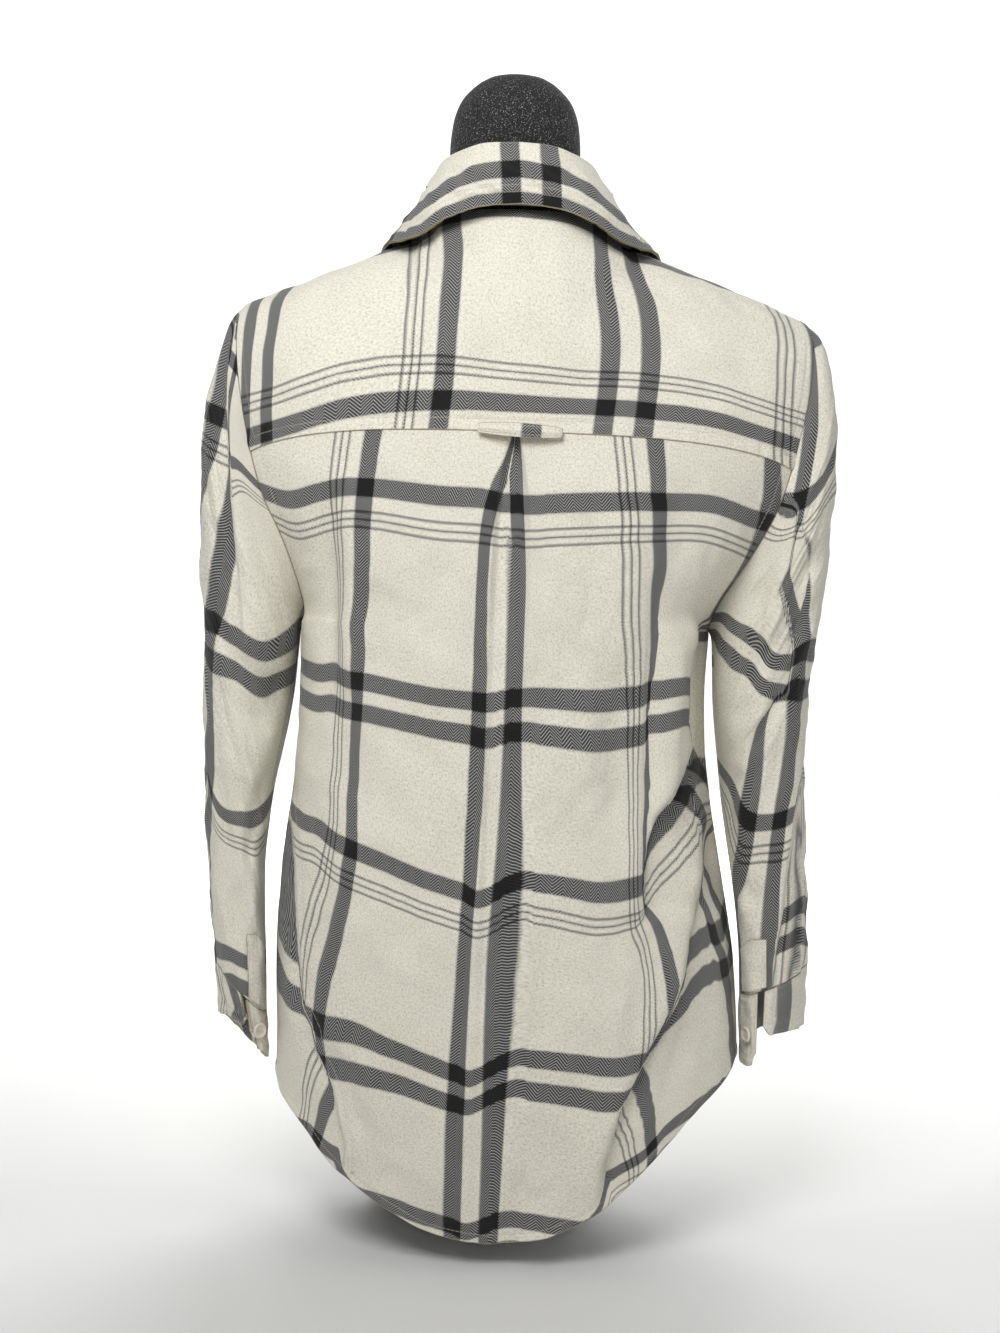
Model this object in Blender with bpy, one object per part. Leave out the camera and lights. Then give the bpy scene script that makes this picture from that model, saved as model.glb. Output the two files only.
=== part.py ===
"""A flannel shirt worn by a limbless dress form.

The form stands on its flat foot. The shirt hangs from its shoulders: a back panel with a centre box
pleat, a yoke, two fronts, set-in sleeves with open cuffs, and a collar on a stand. Lengths are in
millimetres until the last step, which writes metres. +Z is up, -Y is the wearer's back, and +X is
the wearer's right. The origin lies on the flat foot, below the middle of the form's shoulders.
"""

import math
from collections import namedtuple

import bpy
import numpy as np
from mathutils.bvhtree import BVHTree

METRE = 0.001

# ---------------------------------------------------------------- driving dimensions
CLOTH = 1.6  # wall of a single layer of brushed flannel
DOUBLE = 2.2  # wall of two layers sewn together: collar, stand and cuffs
SEAM = 0.3  # clear distance between neighbouring pieces
SQUARE = 2.4  # exponent of the body's rounded cross-sections

HEM_BACK = 17.0  # lowest point of the back tail
HEM_LEVEL = 60.0  # the height at which the hem's curve is laid out
HEM_FRONT = 52.0  # lowest point of the front tails
FRONT_POWER = 2.4  # how sharply the front tails turn up
UNDERARM = 442.0
YOKE_SEAM = 577.0  # height of the yoke seam at the centre back
YOKE_DROOP = 17.0  # how far that seam falls at the armholes
YOKE_GAP = 0.7  # between the yoke and the back panel, whose corners don't meet one to one
FRONT_X = 9.0  # where the button band hangs
FRONT_TOP = 731.0  # where a front ends in a point beside the neck
PLACKET_HALF = 12.5  # half the width of the button band
UNDERLAP = 2.6  # how far the left front sinks to pass under the right one
LAST_BUTTON = 585.0  # above this height the front falls open
STAND_END = 655.0  # where the collar stand stops on the open front

PLEAT_X = 7.0  # where the pleat hangs, plumb, whatever the cloth around it does
CUFF_HEIGHT = 46.0
CUFF_GAP = 0.8  # between the sleeve's end and the cuff
SLIT_WIDTH = 0.030  # of a turn, between a cuff's two ends
STRIP_THICK = 1.4  # wall of a sleeve placket
STRIP_LIFT = 2.5  # its face above the sleeve it is sewn to
SLEEVE_SKEW = 0.16  # the back of an empty sleeve leans towards the body by this share of its depth
BUTTON_RADIUS = 5.6
BUTTON_THICK = 2.4
BUTTON_PITCH = 80.0
BUTTON_COUNT = 6
BUTTON_GAP = 0.6  # under a button's flat back
BAND_THICK = 1.2
BAND_LIFT = 2.0  # the band's face above the front it is sewn to

# Each cuff's slit and placket, for the wearer's right (1) and left (-1). slit, strip and reach are
# turns round the sleeve. drop is how much lower the underlap ends, fading out over `run` turns, swing
# how much higher and flare how much further out the other end does, and lean is how far the back is
# drawn to the body.
Wrist = namedtuple("Wrist", "slit drop run swing flare lean strip reach top")
WRIST = {
    1: Wrist(0.305, 6.0, 0.22, 13.0, 6.0, 0.0, 0.332, 0.066, 0.905),
    -1: Wrist(0.275, -14.0, 0.50, 19.0, 0.0, 6.0, 0.345, 0.064, 0.892),
}

# ---------------------------------------------------------------- tables
Body = namedtuple("Body", "z side back front")
BODY = [
    Body(0, 168, 104, 98),
    Body(60, 170, 107, 102),
    Body(110, 171, 110, 105),
    Body(160, 171, 112, 108),
    Body(200, 170, 111, 108),
    Body(240, 166, 109, 106),
    Body(280, 161, 106, 104),
    Body(320, 155, 103, 106),
    Body(360, 151, 102, 111),
    Body(400, 150, 102, 119),
    Body(442, 151, 103, 126),
    Body(490, 151, 104, 130),
    Body(530, 151, 103, 127),
    Body(560, 151, 100, 121),
    Body(600, 151, 96, 111),
    Body(640, 151, 90, 99),
    Body(680, 151, 80, 85),
    Body(733, 151, 66, 62),
]

Edge = namedtuple("Edge", "z x y")
ARMHOLE_BACK = [
    Edge(442, 150, 0),
    Edge(450, 150, 16),
    Edge(463, 153, 30),
    Edge(480, 160, 41),
    Edge(505, 172, 52),
    Edge(530, 184, 58),
    Edge(560, 193, 60),
    Edge(590, 198.5, 60),
]
ARMHOLE_FRONT = [
    Edge(442, 150, 0),
    Edge(450, 150.5, 15),
    Edge(463, 152, 28),
    Edge(480, 156, 39),
    Edge(510, 165, 49),
    Edge(545, 176, 53),
    Edge(580, 186, 53),
    Edge(620, 196, 47),
    Edge(650, 203, 38),
    Edge(668, 206, 29),
    Edge(678, 186, 30),
    Edge(690, 160, 31),
    Edge(702, 130, 31),
    Edge(716, 100, 29.5),
    Edge(733, 70, 25),
]
ARMHOLE_TOP = 668.0  # where the armhole meets the front yoke seam
SHOULDER_STEPS = 6  # points along that seam

# The cloth hangs a little askew on the form: its middle lies at x at height z.
Sway = namedtuple("Sway", "z x")
SWAY = [
    Sway(0, 17),
    Sway(120, 17),
    Sway(200, 13),
    Sway(300, 7),
    Sway(400, 5),
    Sway(448, 6),
    Sway(510, 12),
    Sway(680, 12),
    Sway(720, 7),
    Sway(760, 4),
    Sway(800, 0),
]

# The back hem: how far it has risen at a distance out from its lowest point, on each side.
Hem = namedtuple("Hem", "out left right")
HEM = [
    Hem(0, 0, 0),
    Hem(36, 5.5, 5),
    Hem(73, 21.5, 21),
    Hem(96, 36, 38),
    Hem(118, 52, 61),
    Hem(146, 78, 89),
    Hem(165, 94, 105),
    Hem(185, 106, 117),
]

Opening = namedtuple("Opening", "z x")
NECK_OPENING = [
    Opening(0, -PLACKET_HALF),
    Opening(LAST_BUTTON - 12, -PLACKET_HALF),
    Opening(LAST_BUTTON, -10),
    Opening(620, 13),
    Opening(STAND_END, 38),
    Opening(680, 47.5),
    Opening(705, 57.5),
    Opening(720, 63.5),
    Opening(733, 68.5),
]

Pleat = namedtuple("Pleat", "z half depth floor")
PLEAT = [
    Pleat(10, 15, 1.2, 9),
    Pleat(200, 15, 2.0, 9),
    Pleat(350, 15, 2.8, 9),
    Pleat(450, 15, 4.0, 9),
    Pleat(510, 14, 5.2, 8),
    Pleat(545, 10, 6.0, 5),
    Pleat(577, 3.2, 6.4, 0.8),
]

# A fold runs from one end to the other in the back's own plane; depth is outward, width is its reach.
Fold = namedtuple("Fold", "x0 z0 x1 z1 depth width")
BACK_FOLDS = [
    Fold(109, 500, 105, 250, -5.0, 8),
    Fold(133, 500, 129, 300, 4.0, 15),
    Fold(109, 250, 135, 160, -4.0, 9),
    Fold(129, 190, 89, 66, -4.5, 9),
    Fold(65, 180, 79, 70, 2.5, 16),
    Fold(-107, 560, -101, 400, 3.5, 13),
    Fold(-121, 520, -117, 380, -4.0, 9),
    Fold(-95, 330, -107, 180, 2.5, 14),
    Fold(-91, 300, -35, 262, 2.2, 12),
    Fold(-113, 150, -75, 74, -3.5, 10),
    Fold(-55, 120, -79, 60, 2.5, 14),
    Fold(-25, 430, -35, 330, 1.8, 16),
    Fold(39, 420, 51, 300, 1.6, 16),
    Fold(155, 330, 123, 255, -3.0, 9),
    Fold(-25, 120, -19, 30, 2.2, 15),
    Fold(45, 110, 31, 30, -2.0, 13),
]
FRONT_FOLDS = [
    Fold(70, 470, 62, 300, 3.0, 15),
    Fold(104, 440, 96, 260, -3.2, 12),
    Fold(130, 430, 128, 300, 3.0, 12),
    Fold(46, 320, 52, 130, -2.8, 14),
    Fold(90, 250, 96, 110, 3.2, 16),
    Fold(128, 240, 130, 120, -3.0, 11),
    Fold(36, 240, 30, 90, 2.0, 12),
    Fold(150, 560, 112, 500, -3.0, 10),
    Fold(140, 640, 100, 560, 2.0, 14),
]

Sleeve = namedtuple("Sleeve", "t x_out z_out x_in z_in y_back y_front")
SLEEVE_RIGHT = [
    Sleeve(0.00, 218, 681, 156, 442, 60, 52),
    Sleeve(0.03, 226, 674, 159, 437, 63, 54),
    Sleeve(0.08, 234, 654, 160.5, 427, 65, 56),
    Sleeve(0.15, 240, 620, 161.5, 410, 65, 58),
    Sleeve(0.25, 244, 570, 162.5, 390, 64, 58),
    Sleeve(0.35, 243, 520, 165, 366, 61, 57),
    Sleeve(0.45, 239, 470, 168, 341, 58, 55),
    Sleeve(0.55, 233, 421, 171, 315, 55, 53),
    Sleeve(0.65, 231, 375, 175, 289, 52, 52),
    Sleeve(0.75, 233, 327, 180, 261, 50, 51),
    Sleeve(0.85, 236, 275, 184.5, 233, 48, 50),
    Sleeve(0.93, 238, 233, 187.5, 206, 46, 49),
    Sleeve(1.00, 238, 197, 189, 178, 45, 48),
]
SLEEVE_LEFT = [
    Sleeve(0.00, 195, 681, 145, 442, 60, 52),
    Sleeve(0.03, 202, 673, 148, 437, 63, 54),
    Sleeve(0.08, 210, 652, 149.5, 427, 65, 56),
    Sleeve(0.15, 219, 616, 150.5, 410, 66, 57),
    Sleeve(0.25, 224, 566, 151.5, 390, 64, 57),
    Sleeve(0.35, 224, 515, 154.5, 366, 61, 55),
    Sleeve(0.45, 221, 465, 159, 341, 58, 53),
    Sleeve(0.55, 218, 415, 163.5, 315, 55, 52),
    Sleeve(0.65, 217, 369, 166, 289, 52, 51),
    Sleeve(0.75, 215, 322, 168, 258, 50, 50),
    Sleeve(0.85, 212, 270, 167, 222, 48, 49),
    Sleeve(0.93, 208, 227, 165, 187, 46, 48),
    Sleeve(1.00, 203, 188, 163.5, 152, 45, 47),
]

# A sleeve's folds are given by where they run: t down the sleeve, turn round it (0 outer, 0.25 back).
Crease = namedtuple("Crease", "t0 turn0 t1 turn1 depth width")
SLEEVE_CREASES = [
    Crease(0.16, 0.40, 0.46, 0.10, 4.0, 0.050),
    Crease(0.20, 0.43, 0.56, 0.20, -4.5, 0.045),
    Crease(0.34, 0.44, 0.66, 0.27, 3.5, 0.045),
    Crease(0.46, 0.42, 0.80, 0.30, -3.5, 0.045),
    Crease(0.10, 0.24, 0.36, 0.22, -3.5, 0.045),
    Crease(0.60, 0.12, 0.96, 0.15, 2.5, 0.050),
    Crease(0.70, 0.36, 0.98, 0.34, 2.0, 0.050),
    Crease(0.20, 0.62, 0.52, 0.86, -4.0, 0.050),
    Crease(0.32, 0.60, 0.66, 0.78, 3.5, 0.050),
    Crease(0.50, 0.66, 0.84, 0.72, -3.0, 0.050),
    Crease(0.74, 0.80, 0.98, 0.82, 2.5, 0.055),
]

Neck = namedtuple("Neck", "turn x y z fold_x fold_y fold_z edge_x edge_y edge_z")
COLLAR = [
    Neck(0.00, 0, -62, 739.3, 0, -67, 786.5, 0, -81, 742),
    Neck(0.12, 23, -58.5, 739.4, 21, -64, 786.2, 28, -82, 740),
    Neck(0.25, 44, -45.5, 739.8, 39, -51, 786, 55, -76, 733),
    Neck(0.36, 58, -28, 740.3, 50, -33, 785.5, 77, -58, 724),
    Neck(0.47, 66, -7, 740.8, 55.5, -11, 784, 94, -30, 721.5),
    Neck(0.56, 69.4, 9, 739.8, 59, 8, 779, 102, 2, 723),
    Neck(0.66, 69.6, 25, 734.4, 62, 29, 769, 107, 34, 714),
    Neck(0.76, 62, 58, 716, 64, 56, 750, 107, 74, 688),
    Neck(0.88, 48, 84, 682, 60, 84, 716, 98, 99, 650),
    Neck(1.00, 38, 94, 655, 50, 103, 684, 84, 112, 606),
]

Form = namedtuple("Form", "z width back front")
FORM = [
    Form(0, 70, 35, 85),
    Form(5, 74, 39, 89),
    Form(60, 108, 72, 92),
    Form(110, 132, 88, 92),
    Form(165, 144, 93, 92),
    Form(230, 142, 90, 87),
    Form(300, 130, 83, 82),
    Form(345, 124, 79, 81),
    Form(400, 126, 80, 91),
    Form(450, 131, 84, 105),
    Form(500, 137, 87, 111),
    Form(540, 144, 87, 105),
    Form(580, 153, 85, 91),
    Form(620, 161, 79, 74),
    Form(640, 163, 72, 62),
    Form(655, 159, 64, 51),
    Form(668, 146, 56, 43),
    Form(680, 126, 51, 38),
    Form(691, 101, 48, 36),
    Form(702, 76, 46, 35),
    Form(713, 60, 45, 35),
    Form(724, 52, 45, 36.5),
    Form(740, 48.5, 47, 38.5),
    Form(765, 47.5, 49.5, 40),
    Form(793, 48.5, 51.5, 40.5),
    Form(811, 47, 50, 39.5),
    Form(826, 42.5, 46, 35),
    Form(837, 34, 38, 27),
    Form(845, 23, 28, 16),
    Form(848.5, 11, 17, 5),
]


# ---------------------------------------------------------------- reading tables
def read(rows, key, value, at):
    """A smooth curve through a table: column `value` where column `key` is `at`."""
    keys = [getattr(row, key) for row in rows]
    vals = [getattr(row, value) for row in rows]
    at = min(max(at, keys[0]), keys[-1])
    i = max(j for j in range(len(keys) - 1) if keys[j] <= at)

    def slope(j):
        if j == 0 or j == len(keys) - 1:
            lo, hi = max(j - 1, 0), min(j + 1, len(keys) - 1)
            return (vals[hi] - vals[lo]) / (keys[hi] - keys[lo])
        before = (vals[j] - vals[j - 1]) / (keys[j] - keys[j - 1])
        after = (vals[j + 1] - vals[j]) / (keys[j + 1] - keys[j])
        return 0.0 if before * after <= 0 else 2 * before * after / (before + after)

    span = keys[i + 1] - keys[i]
    s = (at - keys[i]) / span
    return (
        vals[i] * (1 + 2 * s) * (1 - s) ** 2
        + slope(i) * span * s * (1 - s) ** 2
        + vals[i + 1] * s * s * (3 - 2 * s)
        + slope(i + 1) * span * s * s * (s - 1)
    )


def smooth(low, high, value):
    """0 below low, 1 above high, and a soft step between them."""
    s = min(max((value - low) / (high - low), 0.0), 1.0)
    return s * s * (3 - 2 * s)


def crease_height(x, z, fold):
    """How far one fold moves the cloth at (x, z): a soft ridge or trough that fades at both ends."""
    along = np.array([fold.x1 - fold.x0, fold.z1 - fold.z0], float)
    length = float(np.hypot(*along))
    rel = np.array([x - fold.x0, z - fold.z0])
    share = float(rel @ along) / length**2
    across = abs(rel[0] * along[1] - rel[1] * along[0]) / length
    ends = smooth(-0.15, 0.3, share) * (1 - smooth(0.7, 1.15, share))
    return fold.depth * math.exp(-((across / fold.width) ** 2)) * ends


# ---------------------------------------------------------------- the body's surface
def sway(z):
    """Where the middle of the cloth hangs at height z."""
    return read(SWAY, "z", "x", z)


def section(z, side):
    """Half-width and depth of the body's section at height z, through that side's edge there."""
    if side == "back":
        rows, depth = ARMHOLE_BACK, read(BODY, "z", "back", z)
    else:
        rows, depth = ARMHOLE_FRONT, read(BODY, "z", "front", z)
    if z <= UNDERARM:
        return read(BODY, "z", "side", z), depth, math.pi / 2
    x, y = read(rows, "z", "x", z), read(rows, "z", "y", z)
    share = (y / depth) ** SQUARE
    width = x / (1 - share) ** (1 / SQUARE)
    return width, depth, math.asin(min(1.0, (1 - share) ** 0.5))


def body_point(z, angle, side, lift=0.0):
    """The point at height z and signed angle from the centre line, moved out by lift."""
    width, depth, _ = section(z, side)
    s, c = abs(math.sin(angle)), abs(math.cos(angle))
    x = math.copysign(width * s ** (2 / SQUARE), angle)
    y = depth * c ** (2 / SQUARE)
    out = np.array([math.copysign((s ** (2 / SQUARE)) / width, angle), c ** (2 / SQUARE) / depth])
    out = out / max(float(np.hypot(*out)), 1e-9)
    flip = -1 if side == "back" else 1
    seam = SEAM / 2 * flip
    return np.array([x + out[0] * lift + sway(z), (y + out[1] * lift) * flip + seam, z])


def angle_at(x, z, side):
    """The angle whose point lies at x from the cloth's middle, at height z."""
    width, _, _ = section(z, side)
    share = min(abs(x) / width, 1.0) ** (SQUARE / 2)
    return math.copysign(math.asin(share), x)


# ---------------------------------------------------------------- walls
def normals(grid, closed):
    """Outward normals of a grid of points, rows upward and columns left to right as seen outside."""
    if closed:
        across = np.roll(grid, -1, 1) - np.roll(grid, 1, 1)
    else:
        across = np.gradient(grid, axis=1)
    up = np.gradient(grid, axis=0)
    n = np.cross(across, up)
    return n / np.maximum(np.linalg.norm(n, axis=2, keepdims=True), 1e-9)


def wall(name, outer, thick, closed=False, outward=None):
    """A closed wall: the outer grid, the same grid moved inward, and the rims between them."""
    outer = np.array(outer, float)
    inner = outer - (normals(outer, closed) if outward is None else outward) * thick
    rows, cols = outer.shape[:2]
    points = np.concatenate([outer.reshape(-1, 3), inner.reshape(-1, 3)])
    back = rows * cols
    faces = []
    last = cols if closed else cols - 1
    for r in range(rows - 1):
        for c in range(last):
            a, b = r * cols + c, r * cols + (c + 1) % cols
            faces.append((a, b, b + cols, a + cols))
            faces.append((a + back, a + cols + back, b + cols + back, b + back))
    for c in range(last):
        a, b = c, (c + 1) % cols
        faces.append((a, a + back, b + back, b))
        a, b = a + (rows - 1) * cols, b + (rows - 1) * cols
        faces.append((a, b, b + back, a + back))
    if not closed:
        for r in range(rows - 1):
            a = r * cols
            faces.append((a, a + cols, a + cols + back, a + back))
            a = r * cols + cols - 1
            faces.append((a, a + back, a + cols + back, a + cols))
    return make(name, points, faces)


def make(name, points, faces, smooth_faces=True):
    """An object in metres from points in millimetres."""
    mesh = bpy.data.meshes.new(name)
    mesh.from_pydata([tuple(float(v) * METRE for v in p) for p in points], [], faces)
    mesh.update()
    if smooth_faces:
        mesh.shade_smooth()
        mesh.set_sharp_from_angle(angle=math.radians(50))
    part = bpy.data.objects.new(name, mesh)
    bpy.context.scene.collection.objects.link(part)
    return part


def spread(low, high, count):
    """count + 1 even steps from low to high."""
    return [low + (high - low) * i / count for i in range(count + 1)]


# ---------------------------------------------------------------- dress form
def dress_form():
    """The limbless form: rounded sections from its flat foot to the top of its neck."""
    around, step = 28, 30.0
    heights = []
    for low, high in zip(FORM, FORM[1:]):
        heights += spread(low.z, high.z, max(1, round((high.z - low.z) / step)))[:-1]
    heights.append(FORM[-1].z)
    points = []
    for z in heights:
        width = read(FORM, "z", "width", z)
        back, front = read(FORM, "z", "back", z), read(FORM, "z", "front", z)
        middle, half = (front - back) / 2, (front + back) / 2
        for i in range(around):
            a = 2 * math.pi * i / around
            c, s = math.cos(a), math.sin(a)
            power = 2 / 2.2
            points.append((
                width * math.copysign(abs(c) ** power, c),
                middle + half * math.copysign(abs(s) ** power, s),
                z,
            ))
    faces = [tuple(range(around))[::-1]]
    rings = len(heights)
    for r in range(rings - 1):
        for i in range(around):
            a, b = r * around + i, r * around + (i + 1) % around
            faces.append((a, b, b + around, a + around))
    faces.append(tuple((rings - 1) * around + i for i in range(around)))
    return make("dress_form", points, faces)


# ---------------------------------------------------------------- back panel
def hem_at(x):
    """Height of the back hem below the point x."""
    return HEM_BACK + read(HEM, "out", "right" if x > PLEAT_X else "left", abs(x - PLEAT_X))


def back_angle(share, z):
    """The angle at height z that lies a share of the way from the pleat to an edge."""
    start = angle_at(PLEAT_X - sway(z), z, "back")
    return start + (math.copysign(section(z, "back")[2], share) - start) * abs(share)


def hem_height(share):
    """Height of the back hem; share runs from -1 at the left side seam to 1 at the right."""
    return hem_at(body_point(HEM_LEVEL, back_angle(share, HEM_LEVEL), "back")[0])


def seam_height(share):
    """Height of the yoke seam; share is 0 at the centre back and 1 at the armhole."""
    return YOKE_SEAM - YOKE_DROOP * abs(share) ** 2.6


def row_shares(corners, counts):
    """Shares of a panel's height, so that its edge has a point at each named corner."""
    shares = []
    for low, high, count in zip(corners, corners[1:], counts):
        shares += spread(low, high, count)[:-1]
    return shares + [corners[-1]]


BACK_SHARES = [1.0, 0.965, 0.92, 0.86, 0.79, 0.72, 0.65, 0.58, 0.5, 0.42, 0.34, 0.26, 0.19]


def back_point(share, height, offset=None):
    """A point of the back panel, at a share of the way from the pleat to an edge, or offset from it.

    height runs from 0 at the hem to 1 at the yoke seam.
    """
    low = hem_height(share) if offset is None else hem_at(PLEAT_X + offset)
    high = seam_height(share) - YOKE_GAP
    z = low + (high - low) * height
    if offset is None:
        angle = back_angle(share, z)
    else:
        angle = angle_at(PLEAT_X - sway(z) + offset, z, "back")
    flat = body_point(z, angle, "back")
    lift = sum(crease_height(flat[0], z, fold) for fold in BACK_FOLDS)
    lift *= 1 - smooth(0.86, 0.99, abs(angle) / section(z, "back")[2])
    lift *= 1 - smooth(YOKE_SEAM - 45, YOKE_SEAM - 12, z)
    return body_point(z, angle, "back", lift)


def side_corner(hand, top):
    """The share of an edge's height, between the hem and top, at which the armhole starts."""
    low = hem_height(hand)
    return (UNDERARM - low) / (top - low)


def square_side(outward, column, rows):
    """Turns an edge's wall square to the side seam, for its first rows above the hem."""
    outward[: rows + 1, column, 1] = 0
    edge = outward[: rows + 1, column]
    outward[: rows + 1, column] = edge / np.linalg.norm(edge, axis=1, keepdims=True)
    return outward


def back_panel():
    """The back below the yoke, with an inverted box pleat that opens downward."""
    rows = row_shares([0.0, 1.0], [26])
    below = 18
    grid = []
    for i in range(len(rows)):
        row = []
        for hand in (-1, 1):
            corner = side_corner(hand, seam_height(1) - YOKE_GAP)
            height = row_shares([0.0, corner, 1.0], [below, len(rows) - 1 - below])[i]
            shares = BACK_SHARES if hand < 0 else BACK_SHARES[::-1]
            row.append([back_point(hand * share, height) for share in shares])
            middle = height if hand < 0 else (height + middle) / 2
        z = back_point(0, middle, 0.0)[2]
        half, depth = read(PLEAT, "z", "half", z), read(PLEAT, "z", "depth", z)
        floor = read(PLEAT, "z", "floor", z)
        groove = []
        for x, sink in (
            (-half - 7, 0.0), (-half, 0.0), (-floor, depth), (floor, depth), (half, 0.0), (half + 7, 0.0),
        ):
            groove.append(back_point(0, middle, x) + np.array([0, sink, 0]))
        grid.append(row[0] + groove + row[1])
    grid = np.array(grid)
    outward = square_side(normals(grid, False), 0, below)
    wall("back_panel", grid, CLOTH, outward=square_side(outward, -1, below))
    grid = list(grid)
    return [r[-1] for r in grid[below:]], [r[0] for r in grid[below:]]


# ---------------------------------------------------------------- fronts
def front_columns():
    """Shares across a front: some at set distances from the centre, the rest spread to the side."""
    z = 300.0
    inner = angle_at(-PLACKET_HALF, z, "front")
    near = [(angle_at(x, z, "front") - inner) / (math.pi / 2 - inner) for x in (0.0, 14.0, 26.0, 42.0)]
    return [0.0] + near + spread(near[-1], 1.0, 7)[1:]


def front_inner(z, hand):
    """How far a front's inner edge lies from the cloth's middle, on its own side of it."""
    return read(NECK_OPENING, "z", "x", z) + hand * (FRONT_X - sway(z)) * (1 - smooth(585, 650, z))


def front_point(share, height, hand):
    """A point of a front; hand is 1 for the wearer's right and -1 for the left."""
    across = math.sin(share * math.pi / 2) ** (2 / SQUARE)
    low = HEM_FRONT + (hem_height(hand) - HEM_FRONT) * across**FRONT_POWER
    z = low + (FRONT_TOP - low) * height
    _, _, edge = section(z, "front")
    inner = angle_at(front_inner(z, hand), z, "front")
    angle = inner + (edge - inner) * share
    flat = body_point(z, angle * hand, "front")[0] * hand - hand * FRONT_X
    fold = sum(crease_height(flat, z, f) for f in FRONT_FOLDS)
    fold *= 1 - smooth(0.86, 0.98, share)
    fold *= smooth(0.14, 0.3, share)
    if hand < 0:
        fold -= UNDERLAP * (1 - smooth(14, 26, flat)) * (1 - smooth(600, 640, z))
    return body_point(z, angle * hand, "front", fold)


FRONT_ROWS = [11, 8]


def front_rows(hand):
    """Shares of a front's height, with points at the underarm and at the armhole's top."""
    span = FRONT_TOP - hem_height(hand)
    low = hem_height(hand)
    corners = [0.0, (UNDERARM - low) / span, (ARMHOLE_TOP - low) / span, 1.0]
    return row_shares(corners, FRONT_ROWS + [SHOULDER_STEPS])


def front_panel(hand):
    """One front. It returns its outer grid and its armhole edge, from the underarm up."""
    rows = front_rows(hand)
    columns = front_columns()
    grid = [[front_point(share, height, hand) for share in columns] for height in rows]
    grid = np.array(grid)
    if hand > 0:
        grid = grid[:, ::-1]
    outward = square_side(normals(grid, False), 0 if hand > 0 else -1, FRONT_ROWS[0])
    wall("front_right" if hand > 0 else "front_left", grid, CLOTH, outward=outward)
    low, high = FRONT_ROWS[0], sum(FRONT_ROWS)
    return grid, [front_point(1.0, height, hand) for height in rows[low : high + 1]]


# ---------------------------------------------------------------- yoke
NECK_SHARE = 0.36  # of the yoke's half-width lies along the neck
NECK_TURN = 0.66  # where the neckline passes from the yoke to the front


def neck_line(turn, part=""):
    """A point on the collar's neck, fold or edge line; turn is signed, 0 at the centre back."""
    t, hand = abs(turn), math.copysign(1, turn)
    if part == "" and t > NECK_TURN:
        z = FRONT_TOP + (STAND_END - FRONT_TOP) * (t - NECK_TURN) / (1 - NECK_TURN)
        return body_point(z, hand * angle_at(read(NECK_OPENING, "z", "x", z), z, "front"), "front")
    x, y, z = (read(COLLAR, "turn", part + axis, t) for axis in "xyz")
    return np.array([hand * x + sway(z), y, z])


def yoke_top(share):
    """The yoke's upper edge: the neckline in the middle, the front seams at the sides."""
    s = abs(share)
    hand = math.copysign(1, share)
    if s <= NECK_SHARE:
        return neck_line(hand * s / NECK_SHARE * NECK_TURN) - np.array([0, 0, 0.5])
    out = (s - NECK_SHARE) / (1 - NECK_SHARE)
    z = FRONT_TOP - (FRONT_TOP - ARMHOLE_TOP) * out
    x = read(ARMHOLE_FRONT, "z", "x", z)
    return np.array([hand * x + sway(z), read(ARMHOLE_FRONT, "z", "y", z) - 1.2, z + 0.9])


def yoke_point(share, height):
    """A point of the yoke: a smooth curve from the yoke seam over the shoulder to its upper edge."""
    z = seam_height(share)
    _, _, edge = section(z, "back")
    start = body_point(z, share * edge, "back")
    below = body_point(z - 8, share * section(z - 8, "back")[2], "back")
    rise = (start - below) / np.linalg.norm(start - below)
    end = yoke_top(share)
    wing = smooth(0.0, 0.56, abs(share))
    arrive = np.array([0, 0.62, 0.78]) * (1 - wing) + np.array([0, 0.91, -0.24]) * wing
    arrive /= np.linalg.norm(arrive)
    p1 = start + rise * (58 + 42 * smooth(0.02, 0.3, abs(share)))
    p2 = end - arrive * (52 + 6 * wing)
    h = height
    return (
        start * (1 - h) ** 3 + 3 * p1 * h * (1 - h) ** 2 + 3 * p2 * h * h * (1 - h) + end * h**3
    )


def yoke():
    """The back yoke, over the shoulders to the front seams, with its grid and two armhole edges."""
    wing = spread(NECK_SHARE, 1.0, SHOULDER_STEPS)[1:]
    half = spread(0.0, NECK_SHARE, 6) + wing
    columns = [-s for s in reversed(half[1:])] + half
    rows = spread(0, 1, 9)
    grid = [[yoke_point(share, height) for share in columns] for height in rows]
    wall("back_yoke", grid, CLOTH)
    return grid, [r[-1] for r in grid], [r[0] for r in grid]


# ---------------------------------------------------------------- sleeves
def armhole_loop(back_edge, yoke_edge, front_edge):
    """The armhole from the shoulder tip, down the back, under the arm and up the front."""
    over = yoke_edge[::-1]
    tip = max(range(len(over)), key=lambda i: over[i][2])
    loop = []
    for point in over[tip:] + back_edge[::-1] + front_edge[1:] + over[:tip]:
        if not loop or np.linalg.norm(point - loop[-1]) > 3.0:
            loop.append(point)
    return np.array(loop)


def sleeve_turns(loop):
    """Each loop point's place round the sleeve: 0 at the tip, 0.5 at the underarm."""
    low = int(np.argmin(loop[:, 2]))
    gap = np.linalg.norm(np.roll(loop, -1, 0) - loop, axis=1)
    along = np.concatenate([[0], np.cumsum(gap)])
    total, half = along[-1], along[low]
    return [0.5 * s / half if s <= half else 0.5 + 0.5 * (s - half) / (total - half) for s in along[:-1]]


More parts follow.
